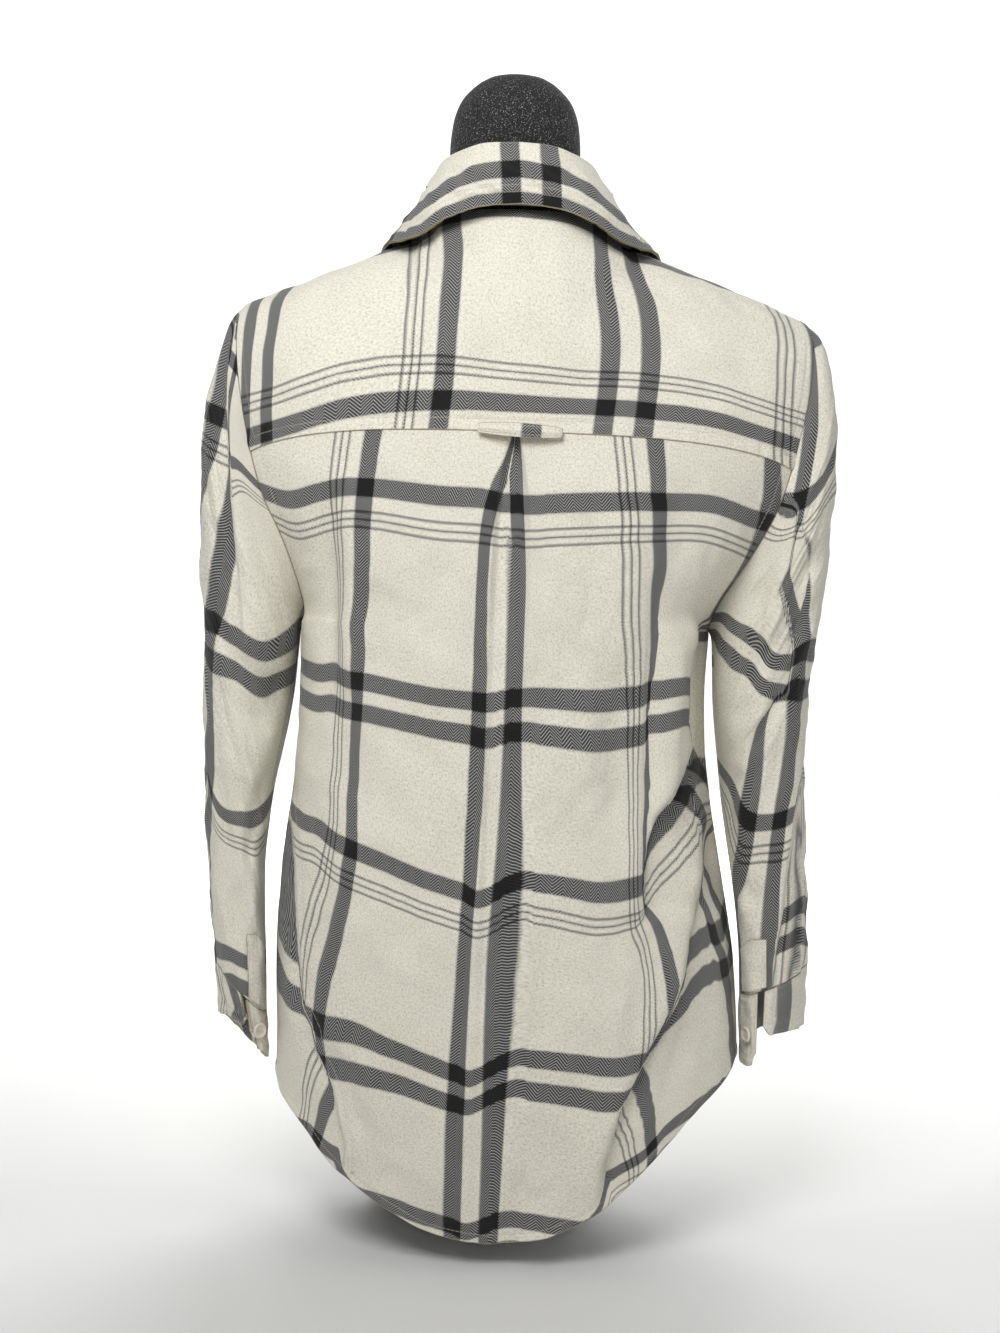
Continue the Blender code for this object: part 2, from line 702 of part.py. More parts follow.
def sleeve_skeleton(table, t, turn):
    """A point on the plain tube: t down the sleeve and turn round it, without folds."""
    c, s = math.cos(2 * math.pi * turn), math.sin(2 * math.pi * turn)
    row = {name: read(table, "t", name, t) for name in Sleeve._fields[1:]}
    share = (1 + math.copysign(abs(c) ** 0.82, c)) / 2
    x = row["x_in"] + (row["x_out"] - row["x_in"]) * share
    z = row["z_in"] + (row["z_out"] - row["z_in"]) * share
    y = -row["y_back"] * s**0.82 if s >= 0 else row["y_front"] * (-s) ** 0.82
    return np.array([x + SLEEVE_SKEW * y * smooth(0.35, 0.9, t), y, z])


def sleeve_fold(t, turn, creases):
    """How far the folds move the sleeve's cloth out, in mm."""
    total = 0.0
    for c in creases:
        along = np.array([c.t1 - c.t0, c.turn1 - c.turn0])
        rel = np.array([t - c.t0, turn - c.turn0])
        length = float(np.hypot(*along))
        share = float(rel @ along) / length**2
        across = abs(rel[0] * along[1] - rel[1] * along[0]) / length
        ends = smooth(-0.2, 0.25, share) * (1 - smooth(0.75, 1.2, share))
        total += c.depth * math.exp(-((across / c.width) ** 2)) * ends
    inner = smooth(0.03, 0.12, abs(turn - 0.5))
    return total * inner * smooth(0.0, 0.12, t)


def sleeve_ring(table, loop, turns, t, hand):
    """One ring of the sleeve; near the armhole it keeps that loop's own shape."""
    keep = 1 - smooth(0.0, 0.35, t)
    centre = loop.mean(0)
    ring = []
    for point, turn in zip(loop, turns):
        bare = sleeve_skeleton(table, t, turn)
        rest = point * np.array([hand, 1, 1]) - sleeve_skeleton(table, 0.0, turn)
        inward = centre - point
        inward /= np.linalg.norm(inward)
        at = bare + rest * keep
        middle = sleeve_skeleton(table, t, 0.0) + sleeve_skeleton(table, t, 0.5)
        out = at - middle / 2
        out[2] *= 0.4
        out /= np.linalg.norm(out)
        at = at + out * sleeve_fold(t, turn, SLEEVE_CREASES)
        at = at * np.array([hand, 1, 1])
        if t == 0.0:
            at = point + np.array([0.35 * hand, 0, 0]) + 0.25 * inward
        ring.append(at)
    return ring


def sleeve(hand, loop):
    """A set-in sleeve that hangs empty, open at the armhole and at the cuff."""
    table = SLEEVE_RIGHT if hand > 0 else SLEEVE_LEFT
    name = "sleeve_right" if hand > 0 else "sleeve_left"
    turns = sleeve_turns(loop)
    steps = [0.0, 0.03, 0.07, 0.12] + spread(0.18, 1.0, 13)
    rings = np.array([sleeve_ring(table, loop, turns, t, hand) for t in steps])
    grid = rings[::-1]
    if hand > 0:
        grid = grid[:, ::-1]
    outward = normals(grid, True)
    first = grid[-1] - loop.mean(0)
    first[:, 0] = 0
    outward[-1] = first / np.linalg.norm(first, axis=1, keepdims=True)
    wall(name, grid, CLOTH, closed=True, outward=outward)
    return rings, turns


# ---------------------------------------------------------------- cuffs
def ring_at(ring, turns, turn):
    """A point on a sleeve's ring at any turn."""
    turns = list(turns) + [1.0]
    points = list(ring) + [ring[0]]
    turn %= 1.0
    i = max(j for j in range(len(turns) - 1) if turns[j] <= turn)
    share = (turn - turns[i]) / (turns[i + 1] - turns[i])
    return points[i] * (1 - share) + points[i + 1] * share


def cuff_point(ring, turns, turn, down, hand):
    """A point of a cuff: turn round the wrist from the slit, down from the sleeve to its edge."""
    centre = ring.mean(0)
    top = ring_at(ring, turns, turn)
    wrist = WRIST[hand]
    from_low = turn - wrist.slit
    from_high = 1 - SLIT_WIDTH - from_low
    lower = wrist.drop * (1 - smooth(0.06, wrist.run, from_low))
    swing = wrist.swing * (1 - smooth(0.0, 0.34, from_high))
    corner = 8 * (1 - smooth(0.0, 0.03, min(from_low, from_high))) * smooth(0.6, 1.0, down)
    out = top - centre
    out[2] = 0
    out /= np.linalg.norm(out)
    fall = CUFF_GAP + (CUFF_HEIGHT + lower - swing) * down - corner
    flare = wrist.flare * (1 - smooth(0.0, 0.34, from_high)) - 1.5
    behind = 0.5 - 0.5 * (top[1] - centre[1]) / read(SLEEVE_RIGHT, "t", "y_back", 1.0)
    return top + out * flare * down - np.array([hand * wrist.lean * behind * down, 0, fall])


def cuff(hand, ring, turns):
    """An open cuff: a band round the sleeve's end, with its slit at the back and a low underlap."""
    name = "cuff_right" if hand > 0 else "cuff_left"
    slit = WRIST[hand].slit
    columns = spread(slit, slit + 1 - SLIT_WIDTH, 28)
    grid = []
    for down in (1.0, 0.86, 0.6, 0.3, 0.0):
        grid.append([cuff_point(ring, turns, turn, down, hand) for turn in columns])
    grid = np.array(grid)
    if hand > 0:
        grid = grid[:, ::-1]
    wall(name, grid, DOUBLE)


def sleeve_placket(hand, table, loop, turns):
    """The pointed strip that finishes the slit, laid on the sleeve above the cuff."""
    name = "sleeve_placket_right" if hand > 0 else "sleeve_placket_left"
    wrist = WRIST[hand]
    grid = []
    for step in (0.0, 0.18, 0.36, 0.54, 0.72, 0.85, 1.0):
        t = 0.995 + (wrist.top - 0.995) * step
        taper = 0.25 if step == 1.0 else 1.0
        ring = np.array(sleeve_ring(table, loop, turns, t, hand))
        centre = ring.mean(0)
        row = []
        for side in spread(-1, 1, 6):
            at = ring_at(ring, turns, wrist.strip + side * wrist.reach * taper)
            out = at - centre
            out[2] = 0
            row.append(at + out / np.linalg.norm(out) * STRIP_LIFT)
        grid.append(row)
    grid = np.array(grid)
    if hand > 0:
        grid = grid[:, ::-1]
    wall(name, grid, STRIP_THICK)


# ---------------------------------------------------------------- collar
ROLL = 3.3  # outer radius of the collar's fold
STAND_SHORT = 7.4  # the stand stops this far below the fold
STAND_START = 2.4  # the stand starts this far above the neck edge
COLLAR_BOW = 1.6  # how far the fall bows out behind the neck
COLLAR_HOLLOW = {1: 8.0, -1: 4.0}  # how much less it does at the sides, where it lies hollow
COLLAR_REST = 2.2  # clear distance between the fall and the panels under it


def collar_axes(turn):
    """The neck, fold and edge points, and two directions square to the fold: up, and outward."""
    low, fold, edge = neck_line(turn), neck_line(turn, "fold_"), neck_line(turn, "edge_")
    run = neck_line(min(turn + 0.02, 1.0), "fold_") - neck_line(max(turn - 0.02, -1.0), "fold_")
    run /= np.linalg.norm(run)
    up = fold - low
    up -= run * float(up @ run)
    up /= np.linalg.norm(up)
    return low, fold, edge, up, np.cross(up, run) * -1


def collar_stand():
    """The upright band round the neck."""
    grid = []
    for share in (0.0, 0.5, 1.0):
        row = []
        for turn in spread(-0.99, 0.99, 30):
            low, fold, _, up, _ = collar_axes(turn)
            rise = (fold - low) / np.linalg.norm(fold - low)
            start, stop = low + rise * STAND_START, fold - up * STAND_SHORT
            row.append(start + (stop - start) * share)
        grid.append(row)
    wall("collar_stand", grid, DOUBLE)


def surface_tree(grids):
    """A search tree over the outer faces of panels, for what lies on them."""
    points, faces = [], []
    for grid in grids:
        start, cols = len(points), len(grid[0])
        for row in grid:
            points += [tuple(p) for p in row]
        for r in range(len(grid) - 1):
            for c in range(cols - 1):
                a = start + r * cols + c
                faces.append((a, a + 1, a + cols + 1, a + cols))
    return BVHTree.FromPolygons(points, faces)


def lift_clear(point, tree, gap):
    """Moves a point out until it is at least gap from the panels below it."""
    near, normal, _, _ = tree.find_nearest(tuple(point))
    normal = np.array(normal)
    short = gap - float((point - np.array(near)) @ normal)
    return point + normal * max(short, 0.0)


def collar_fall(tree):
    """The folded leaf: up from the stand, over the fold and down to its outer edge."""
    grid = []
    for turn in spread(-1.0, 1.0, 30):
        _, fold, edge, up, out = collar_axes(turn)
        middle = fold - up * ROLL
        line = [middle - out * ROLL - up * (STAND_SHORT - SEAM * 2 - ROLL)]
        for angle in (180, 145, 110, 70, 35, 0):
            r = math.radians(angle)
            line.append(middle + (out * math.cos(r) + up * math.sin(r)) * ROLL)
        start = line[-1]
        hollow = COLLAR_HOLLOW[1 if turn > 0 else -1] * smooth(0.3, 0.55, abs(turn))
        for share in (0.2, 0.45, 0.73, 1.0):
            bow = (COLLAR_BOW - hollow) * math.sin(math.pi * share)
            point = start + (edge - start) * share + out * bow
            line.append(lift_clear(point, tree, DOUBLE + COLLAR_REST))
        grid.append(line)
    wall("collar_fall", np.array(grid).transpose(1, 0, 2)[:, ::-1], DOUBLE)


# ---------------------------------------------------------------- trim
def button_band():
    """The strip that carries the buttonholes, laid on the right front's edge."""
    span = FRONT_TOP - HEM_FRONT
    low, high = 0.012, (STAND_END - 3 - HEM_FRONT) / span
    grid = []
    for height in spread(low, high, 22):
        z = HEM_FRONT + span * height
        edge = front_inner(z, 1)
        row = []
        for x in (edge + 2 * PLACKET_HALF, edge + PLACKET_HALF, edge + 0.3):
            row.append(body_point(z, angle_at(x, z, "front"), "front", BAND_LIFT))
        grid.append(row)
    wall("button_band", grid, BAND_THICK)


def button(name, centre, out):
    """A round button with a softened rim; out is the way its face looks."""
    out = np.array(out, float) / np.linalg.norm(out)
    side = np.cross(out, (0, 0, 1))
    side /= np.linalg.norm(side)
    up = np.cross(side, out)
    around = 14
    rings = [(0.9, 0.0), (1.0, 0.4), (0.86, 1.0), (0.6, 0.8)]
    points = []
    for share, high in rings:
        for i in range(around):
            a = 2 * math.pi * i / around
            radial = side * math.cos(a) + up * math.sin(a)
            points.append(centre + radial * BUTTON_RADIUS * share + out * BUTTON_THICK * high)
    faces = [tuple(range(around))]
    for r in range(len(rings) - 1):
        for i in range(around):
            a, b = r * around + i, r * around + (i + 1) % around
            faces.append((a, a + around, b + around, b))
    faces.append(tuple((len(rings) - 1) * around + i for i in reversed(range(around))))
    return make(name, points, faces)


def front_buttons():
    """The closed buttons down the front, on the band."""
    def on_band(z):
        return body_point(z, angle_at(FRONT_X - sway(z), z, "front"), "front", BAND_LIFT + BUTTON_GAP)

    for i in range(BUTTON_COUNT):
        z = LAST_BUTTON - 16 - BUTTON_PITCH * i
        along = on_band(z + 8) - on_band(z - 8)
        at = (on_band(z + 8) + on_band(z - 8)) / 2 + (0, 0.4, 0)
        button(f"button_{i + 1}", at, np.cross((1, 0, 0), along) * -1)


def cuff_button(hand, ring, turns):
    """The button on a cuff's free underlap."""
    turn = WRIST[hand].slit + 0.045
    here, beside = (cuff_point(ring, turns, turn + d, 0.55, hand) for d in (-0.02, 0.02))
    below, above = (cuff_point(ring, turns, turn, d, hand) for d in (0.7, 0.4))
    out = np.cross(beside - here, above - below)
    out *= -hand / np.linalg.norm(out)
    if out @ ((here + beside) / 2 - ring.mean(0)) < 0:
        out *= -1
    place = cuff_point(ring, turns, turn, 0.55, hand) + out * (BUTTON_GAP + 0.4)
    button("cuff_button_right" if hand > 0 else "cuff_button_left", place, out)


def locker_loop():
    """The hanging loop at the middle of the yoke seam: a narrow tube, bowed out, sewn at both ends."""
    x_low, x_high, rise = -25.0, 25.0, 8.5
    grid = []
    for up in (0.0, 0.5, 1.0):
        row = []
        for share in spread(0, 1, 10):
            x = x_low + (x_high - x_low) * share
            bow = math.sin(math.pi * share) ** 0.6
            z = YOKE_SEAM + 1.5 - 3.5 * bow + rise * (up - 0.4) * (0.6 + 0.4 * bow)
            base = body_point(YOKE_SEAM - 4, angle_at(x, YOKE_SEAM - 4, "back"), "back", 3.2 + 3.0 * bow)
            row.append(np.array([base[0], base[1], z]))
        grid.append(row)
    wall("locker_loop", grid, 2.2)


# ---------------------------------------------------------------- finishes
def finish(name, colour, roughness):
    """A plain Principled material."""
    material = bpy.data.materials.new(name)
    material.use_nodes = True
    shader = material.node_tree.nodes["Principled BSDF"]
    shader.inputs["Base Color"].default_value = (*colour, 1)
    shader.inputs["Roughness"].default_value = roughness
    shader.inputs["Metallic"].default_value = 0.0
    return material


def dress():
    """Gives every object its material."""
    flannel = finish("cream_flannel", (0.78, 0.75, 0.66), 0.95)
    plastic = finish("button_plastic", (0.86, 0.84, 0.78), 0.35)
    jersey = finish("black_jersey", (0.02, 0.02, 0.022), 0.9)
    for part in bpy.data.objects:
        if part.type != "MESH":
            continue
        if part.name == "dress_form":
            part.data.materials.append(jersey)
        elif "button" in part.name and part.name != "button_band":
            part.data.materials.append(plastic)
        else:
            part.data.materials.append(flannel)


def main():
    for old in list(bpy.data.objects):
        bpy.data.objects.remove(old)
    dress_form()
    back_edges = back_panel()
    yoke_grid, *yoke_edges = yoke()
    panels = [yoke_grid]
    for hand, back_edge, yoke_edge in zip((1, -1), back_edges, yoke_edges):
        front_grid, front_edge = front_panel(hand)
        panels.append(front_grid)
        loop = armhole_loop(back_edge, yoke_edge, front_edge)
        rings, turns = sleeve(hand, loop)
        cuff(hand, rings[-1], turns)
        table = SLEEVE_RIGHT if hand > 0 else SLEEVE_LEFT
        sleeve_placket(hand, table, loop, turns)
        cuff_button(hand, rings[-1], turns)
    collar_stand()
    collar_fall(surface_tree(panels))
    button_band()
    front_buttons()
    locker_loop()
    dress()


main()
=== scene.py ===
"""The looks of a flannel shirt worn by a limbless dress form.

Every panel is a thin shell of brushed plaid flannel, laid on the same surfaces as the frame's solids.
Lengths are in millimetres until a mesh is written, in metres. +Z is up, -Y is the wearer's back, and
+X is the wearer's right.
"""

import logging
import math
from dataclasses import dataclass, field
from enum import Enum

import bpy
import numpy as np
from mathutils import Matrix
from mathutils.bvhtree import BVHTree


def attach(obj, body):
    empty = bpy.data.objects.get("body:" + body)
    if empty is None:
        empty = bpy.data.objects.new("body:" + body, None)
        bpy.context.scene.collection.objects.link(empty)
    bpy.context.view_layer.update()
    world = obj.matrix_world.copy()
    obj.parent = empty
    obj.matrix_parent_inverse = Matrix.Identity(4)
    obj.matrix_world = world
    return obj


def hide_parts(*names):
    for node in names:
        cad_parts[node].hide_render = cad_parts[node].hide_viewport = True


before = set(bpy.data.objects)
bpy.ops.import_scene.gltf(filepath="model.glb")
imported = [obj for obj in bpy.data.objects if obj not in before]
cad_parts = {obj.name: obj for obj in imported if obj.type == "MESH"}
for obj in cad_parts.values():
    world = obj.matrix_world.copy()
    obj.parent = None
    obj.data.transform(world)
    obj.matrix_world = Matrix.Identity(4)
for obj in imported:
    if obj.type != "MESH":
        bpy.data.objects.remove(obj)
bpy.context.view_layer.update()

Array = np.ndarray
Number = float | Array
MM = 0.001
log = logging.getLogger("shirt")

# How far the panels' topstitching lies from a hem and from an armhole. Each piece's cut_at is where its
# own zero lies in the plaid: across the cloth, and up it.
HEM_ROW = 6.0
HOLE_ROW = 9.0


# ---------------------------------------------------------------- named options
class Side(Enum):
    """Which half of the body a point lies on."""

    BACK = "back"
    FRONT = "front"


class Hand(Enum):
    """The wearer's right or left."""

    RIGHT = 1
    LEFT = -1

    @property
    def word(self) -> str:
        """The word that names this hand's pieces."""
        return self.name.lower()


class Slot(Enum):
    """The record's material slots."""

    FLANNEL = "cream_flannel"
    JERSEY = "black_jersey"
    PLASTIC = "button_plastic"


# ---------------------------------------------------------------- reading sizes
def smooth(low: float, high: float, value: Number) -> Array:
    """A soft step.

    Args:
        low: where the step starts.
        high: where it ends.
        value: where it is read.

    Returns:
        0 below low, 1 above high, and an even curve between them.
    """
    share = np.clip((np.asarray(value, float) - low) / (high - low), 0.0, 1.0)
    return share * share * (3 - 2 * share)


def fall_off(low: float, high: float, value: Number) -> Array:
    """The soft step turned over: 1 below low and 0 above high."""
    return 1 - smooth(low, high, value)


@dataclass(frozen=True)
class Chart:
    """A table of sizes whose columns are read as smooth curves of the first one."""

    columns: str
    rows: tuple[tuple[float, ...], ...]

    def __call__(self, column: str, at: Number) -> Array:
        """Reads one column.

        Args:
            column: its name.
            at: the first column's value, or an array of them.

        Returns:
            The column's value there, without overshoot between rows.
        """
        table = np.array(self.rows, float)
        keys, values = table[:, 0], table[:, self.columns.split().index(column)]
        at = np.clip(np.asarray(at, float), keys[0], keys[-1])
        span = np.diff(keys)
        rise = np.diff(values) / span
        slope = np.concatenate([rise[:1], np.zeros(len(keys) - 2), rise[-1:]])
        before, after = rise[:-1], rise[1:]
        turning = before * after <= 0
        slope[1:-1] = np.where(turning, 0.0, 2 * before * after / np.where(turning, 1.0, before + after))
        i = np.clip(np.searchsorted(keys, at, side="right") - 1, 0, len(keys) - 2)
        s = (at - keys[i]) / span[i]
        return (
            values[i] * (1 + 2 * s) * (1 - s) ** 2
            + slope[i] * span[i] * s * (1 - s) ** 2
            + values[i + 1] * s * s * (3 - 2 * s)
            + slope[i + 1] * span[i] * s * s * (s - 1)
        )


BODY = Chart("z side back front", (
    (0, 168, 104, 98), (60, 170, 107, 102), (110, 171, 110, 105), (160, 171, 112, 108),
    (200, 170, 111, 108), (240, 166, 109, 106), (280, 161, 106, 104), (320, 155, 103, 106),
    (360, 151, 102, 111), (400, 150, 102, 119), (442, 151, 103, 126), (490, 151, 104, 130),
    (530, 151, 103, 127), (560, 151, 100, 121), (600, 151, 96, 111), (640, 151, 90, 99),
    (680, 151, 80, 85), (733, 151, 66, 62),
))
ARMHOLE = {
    Side.BACK: Chart("z x y", (
        (442, 150, 0), (450, 150, 16), (463, 153, 30), (480, 160, 41), (505, 172, 52), (530, 184, 58),
        (560, 193, 60), (590, 198.5, 60),
    )),
    Side.FRONT: Chart("z x y", (
        (442, 150, 0), (450, 150.5, 15), (463, 152, 28), (480, 156, 39), (510, 165, 49), (545, 176, 53),
        (580, 186, 53), (620, 196, 47), (650, 203, 38), (668, 206, 29), (678, 186, 30), (690, 160, 31),
        (702, 130, 31), (716, 100, 29.5), (733, 70, 25),
    )),
}
SWAY = Chart("z x", (
    (0, 17), (120, 17), (200, 13), (300, 7), (400, 5), (448, 6), (510, 12), (680, 12), (720, 7), (760, 4),
    (800, 0),
))
HEM = Chart("out left right", (
    (0, 0, 0), (36, 5.5, 5), (73, 21.5, 21), (96, 36, 38), (118, 52, 61), (146, 78, 89), (165, 94, 105),
    (185, 106, 117),
))
OPENING = Chart("z x", (
    (0, -12.5), (573, -12.5), (585, -10), (620, 13), (655, 38), (680, 47.5), (705, 57.5), (720, 63.5),
    (733, 68.5),
))
PLEAT = Chart("z half depth floor", (
    (10, 15, 1.2, 9), (200, 15, 2.0, 9), (350, 15, 2.8, 9), (450, 15, 4.0, 9), (510, 14, 5.2, 8),
    (545, 10, 6.0, 5), (577, 3.2, 6.4, 0.8),
))
COLLAR = Chart("turn x y z fold_x fold_y fold_z edge_x edge_y edge_z", (
    (0.00, 0, -62, 739.3, 0, -67, 785.5, 0, -79, 743),
    (0.12, 23, -58.5, 739.4, 21, -64, 785, 28, -80, 741),
    (0.25, 44, -45.5, 739.8, 39, -51, 782.5, 55, -74, 734),
    (0.36, 58, -28, 740.3, 51, -33, 780.5, 78, -58, 723),
    (0.47, 66, -7, 740.8, 57, -11, 778.5, 95, -30, 720.5),
    (0.56, 69.4, 9, 739.8, 61, 8, 775, 103, 2, 722),
    (0.66, 69.6, 25, 734.4, 63, 29, 767, 107, 34, 714),
    (0.76, 62, 58, 716, 64, 56, 750, 107, 74, 688),
    (0.88, 48, 84, 682, 60, 84, 716, 98, 99, 650),
    (1.00, 38, 94, 655, 50, 103, 684, 84, 112, 606),
))
FORM = Chart("z width back front", (
    (0, 70, 35, 85), (5, 74, 39, 89), (60, 108, 72, 92), (110, 132, 88, 92), (165, 144, 93, 92),
    (230, 142, 90, 87), (300, 130, 83, 82), (345, 124, 79, 81), (400, 126, 80, 91), (450, 131, 84, 105),
    (500, 137, 87, 111), (540, 144, 87, 105), (580, 153, 85, 91), (620, 161, 79, 74), (640, 163, 72, 62),
    (655, 159, 64, 51), (668, 146, 56, 43), (680, 126, 51, 38), (691, 101, 48, 36), (702, 76, 46, 35),
    (713, 60, 45, 35), (724, 52, 45, 36.5), (740, 48.5, 47, 38.5), (765, 47.5, 49.5, 40),
    (793, 48.5, 51.5, 40.5), (811, 47, 50, 39.5), (826, 42.5, 46, 35), (837, 34, 38, 27),
    (845, 23, 28, 16), (848.5, 11, 17, 5),
))
TUBE = "t x_out z_out x_in z_in y_back y_front"
SLEEVE_TUBE = {
    Hand.RIGHT: Chart(TUBE, (
        (0.00, 218, 681, 156, 442, 60, 52), (0.03, 226, 674, 159, 437, 63, 54),
        (0.08, 234, 654, 160.5, 427, 65, 56), (0.15, 240, 620, 161.5, 410, 65, 58),
        (0.25, 244, 570, 162.5, 390, 64, 58), (0.35, 243, 520, 165, 366, 61, 57),
        (0.45, 239, 470, 168, 341, 58, 55), (0.55, 233, 421, 171, 315, 55, 53),
        (0.65, 231, 375, 175, 289, 52, 52), (0.75, 233, 327, 180, 261, 50, 51),
        (0.85, 236, 275, 184.5, 233, 48, 50), (0.93, 238, 233, 187.5, 206, 46, 49),
        (1.00, 238, 197, 189, 178, 45, 48),
    )),
    Hand.LEFT: Chart(TUBE, (
        (0.00, 195, 681, 145, 442, 60, 52), (0.03, 202, 673, 148, 437, 63, 54),
        (0.08, 210, 652, 149.5, 427, 65, 56), (0.15, 219, 616, 150.5, 410, 66, 57),
        (0.25, 224, 566, 151.5, 390, 64, 57), (0.35, 224, 515, 154.5, 366, 61, 55),
        (0.45, 221, 465, 159, 341, 58, 53), (0.55, 218, 415, 163.5, 315, 55, 52),
        (0.65, 217, 369, 166, 289, 52, 51), (0.75, 215, 322, 168, 258, 50, 50),
        (0.85, 212, 270, 167, 222, 48, 49), (0.93, 208, 227, 165, 187, 46, 48),
        (1.00, 203, 188, 163.5, 152, 45, 47),
    )),
}


# ---------------------------------------------------------------- folds
@dataclass(frozen=True)
class Fold:
    """A soft ridge or trough that runs from one place to another on a panel.

    On the body, places are (x, z) in mm. On a sleeve they are (t down it, turn round it), and the
    width is in turns. depth is how far the cloth stands out there, in mm. steep is how much narrower
    the fold's right side is than its left, as seen going down it from start to end.
    """

    start: tuple[float, float]
    end: tuple[float, float]
    depth: float
    width: float
    steep: float = 1.0

    def height(self, a: Array, b: Array) -> Array:
        """How far this fold moves the cloth outward.

        Args:
            a: the first coordinate of each point.
            b: the second coordinate.

        Returns:
            The move in mm, fading at both of the fold's ends.
        """
        along = np.array([self.end[0] - self.start[0], self.end[1] - self.start[1]], float)
        length = float(np.hypot(*along))
        ra, rb = a - self.start[0], b - self.start[1]
        share = (ra * along[0] + rb * along[1]) / length**2
        across = (ra * along[1] - rb * along[0]) / length
        across = np.where(across < 0, across * self.steep, across)
        ends = smooth(-0.15, 0.3, share) * fall_off(0.7, 1.15, share)
        return self.depth * np.exp(-((across / self.width) ** 2)) * ends


def folded(folds: tuple[Fold, ...], a: Array, b: Array) -> Array:
    """The sum of several folds at the same points."""
    return sum((fold.height(a, b) for fold in folds), np.zeros(np.broadcast(a, b).shape))


@dataclass(frozen=True)
class Ripple:
    """The small uneven waves that washed cloth keeps: a seeded sum of sines."""

    seed: int
    height: float
    length: float
    stretch: float = 1.0
    waves: int = 14

    def __call__(self, a: Array, b: Array) -> Array:
        """The wave's height in mm at points a across and b up the cloth, also in mm."""
        rng = np.random.default_rng(self.seed)
        total = np.zeros(np.broadcast(a, b).shape)
        for _ in range(self.waves):
            angle, phase = rng.uniform(0, 2 * math.pi, 2)
            size = self.length * rng.uniform(0.6, 1.6)
            total = total + np.sin(
                2 * math.pi * (a * math.cos(angle) + b * math.sin(angle) / self.stretch) / size + phase
            )
        return self.height * total / math.sqrt(self.waves / 2)


# ---------------------------------------------------------------- the body's surface
@dataclass(frozen=True)
class Torso:
    """The surface that the body of the shirt hangs on."""

    square: float = 2.4
    gap: float = 0.15
    underarm: float = 442.0
    front_x: float = 9.0
    hem_back: float = 17.0
    hem_front: float = 52.0
    hem_level: float = 60.0
    front_power: float = 2.4
    front_top: float = 731.0
    armhole_top: float = 668.0
    yoke_seam: float = 577.0
    yoke_droop: float = 17.0
    pleat_x: float = 7.0

    def section(self, z: Number, side: Side) -> tuple[Array, Array, Array]:
        """The body's rounded section.

        Args:
            z: the height.
            side: the half of the body.

        Returns:
            Its half-width, its depth, and the angle of that half's edge.
        """
        depth = BODY(side.value, z)
        hole = ARMHOLE[side]
        below = np.asarray(z) <= self.underarm
        share = np.where(below, 0.0, (hole("y", z) / depth) ** self.square)
        width = np.where(below, BODY("side", z), hole("x", z) / (1 - share) ** (1 / self.square))
        return width, depth, np.arcsin(np.sqrt(1 - share))

    def point(self, z: Number, angle: Number, side: Side, lift: Number = 0.0) -> Array:
        """A point on the body.

        Args:
            z: its height.
            angle: its signed angle from the centre line.
            side: the half of the body.
            lift: how far it is moved out.

        Returns:
            The point or points, as (..., 3).
        """
        z, angle = np.broadcast_arrays(np.asarray(z, float), np.asarray(angle, float))
        width, depth, _ = self.section(z, side)
        hand = np.where(angle < 0, -1.0, 1.0)
        s = np.abs(np.sin(angle)) ** (2 / self.square)
        c = np.abs(np.cos(angle)) ** (2 / self.square)
        out_x, out_y = hand * s / width, c / depth
        length = np.maximum(np.hypot(out_x, out_y), 1e-9)
        flip = -1.0 if side is Side.BACK else 1.0
        x = hand * width * s + out_x / length * lift + SWAY("x", z)
        y = (depth * c + out_y / length * lift + self.gap) * flip
        return np.stack([x, y, z], -1)

    def angle_at(self, x: Number, z: Number, side: Side) -> Array:
        """The angle whose point lies at x from the cloth's middle, at height z."""
        width, _, _ = self.section(z, side)
        share = np.minimum(np.abs(x) / width, 1.0) ** (self.square / 2)
        return np.copysign(np.arcsin(share), x)

    def hem_at(self, x: Number) -> Array:
        """Height of the back hem below the point x."""
        x = np.asarray(x, float)
        out = np.abs(x - self.pleat_x)
        return self.hem_back + np.where(x > self.pleat_x, HEM("right", out), HEM("left", out))

    def side_hem(self, hand: Hand) -> float:
        """Height of the hem at a side seam."""
        x = self.point(self.hem_level, hand.value * math.pi / 2, Side.BACK)[0]
        return float(self.hem_at(x))

    def seam_height(self, share: Number) -> Array:
        """Height of the yoke seam; share is 0 at the centre back and 1 at the armhole."""
        return self.yoke_seam - self.yoke_droop * np.abs(share) ** 2.6


TORSO = Torso()


# ---------------------------------------------------------------- measuring and laying cloth
def unit(vectors: Array) -> Array:
    """The vectors at length 1."""
    return vectors / np.maximum(np.linalg.norm(vectors, axis=-1, keepdims=True), 1e-9)


def outward(grid: Array) -> Array:
    """Outward normals of a grid: rows run up it and columns to the right, as seen from outside."""
    return unit(np.cross(np.gradient(grid, axis=1), np.gradient(grid, axis=0)))


def across_row(count: int, low: float = 0.0, high: float = 1.0) -> Array:
    """Even places across a grid of `count` columns of faces, as one row."""
    return np.linspace(low, high, count + 1)[None, :]


def up_column(count: int, low: float = 0.0, high: float = 1.0) -> Array:
    """Even places up a grid of `count` rows of faces, as one column."""
    return np.linspace(low, high, count + 1)[:, None]


def faced(grid: Array, hand: Hand) -> Array:
    """A grid whose columns run to the left on the right hand, turned to run to the right on both."""
    return grid[:, ::-1] if hand is Hand.RIGHT else grid


def arc(grid: Array, axis: int, keep: tuple[int, ...] = (0, 1, 2)) -> Array:
    """Length along a grid's rows or columns, measured on some of its coordinates."""
    step = np.linalg.norm(np.diff(grid[..., list(keep)], axis=axis), axis=-1)
    start = np.zeros_like(np.take(step, [0], axis=axis))
    return np.concatenate([start, np.cumsum(step, axis=axis)], axis=axis)


Marks = dict[float, tuple[tuple[float, float], ...]]


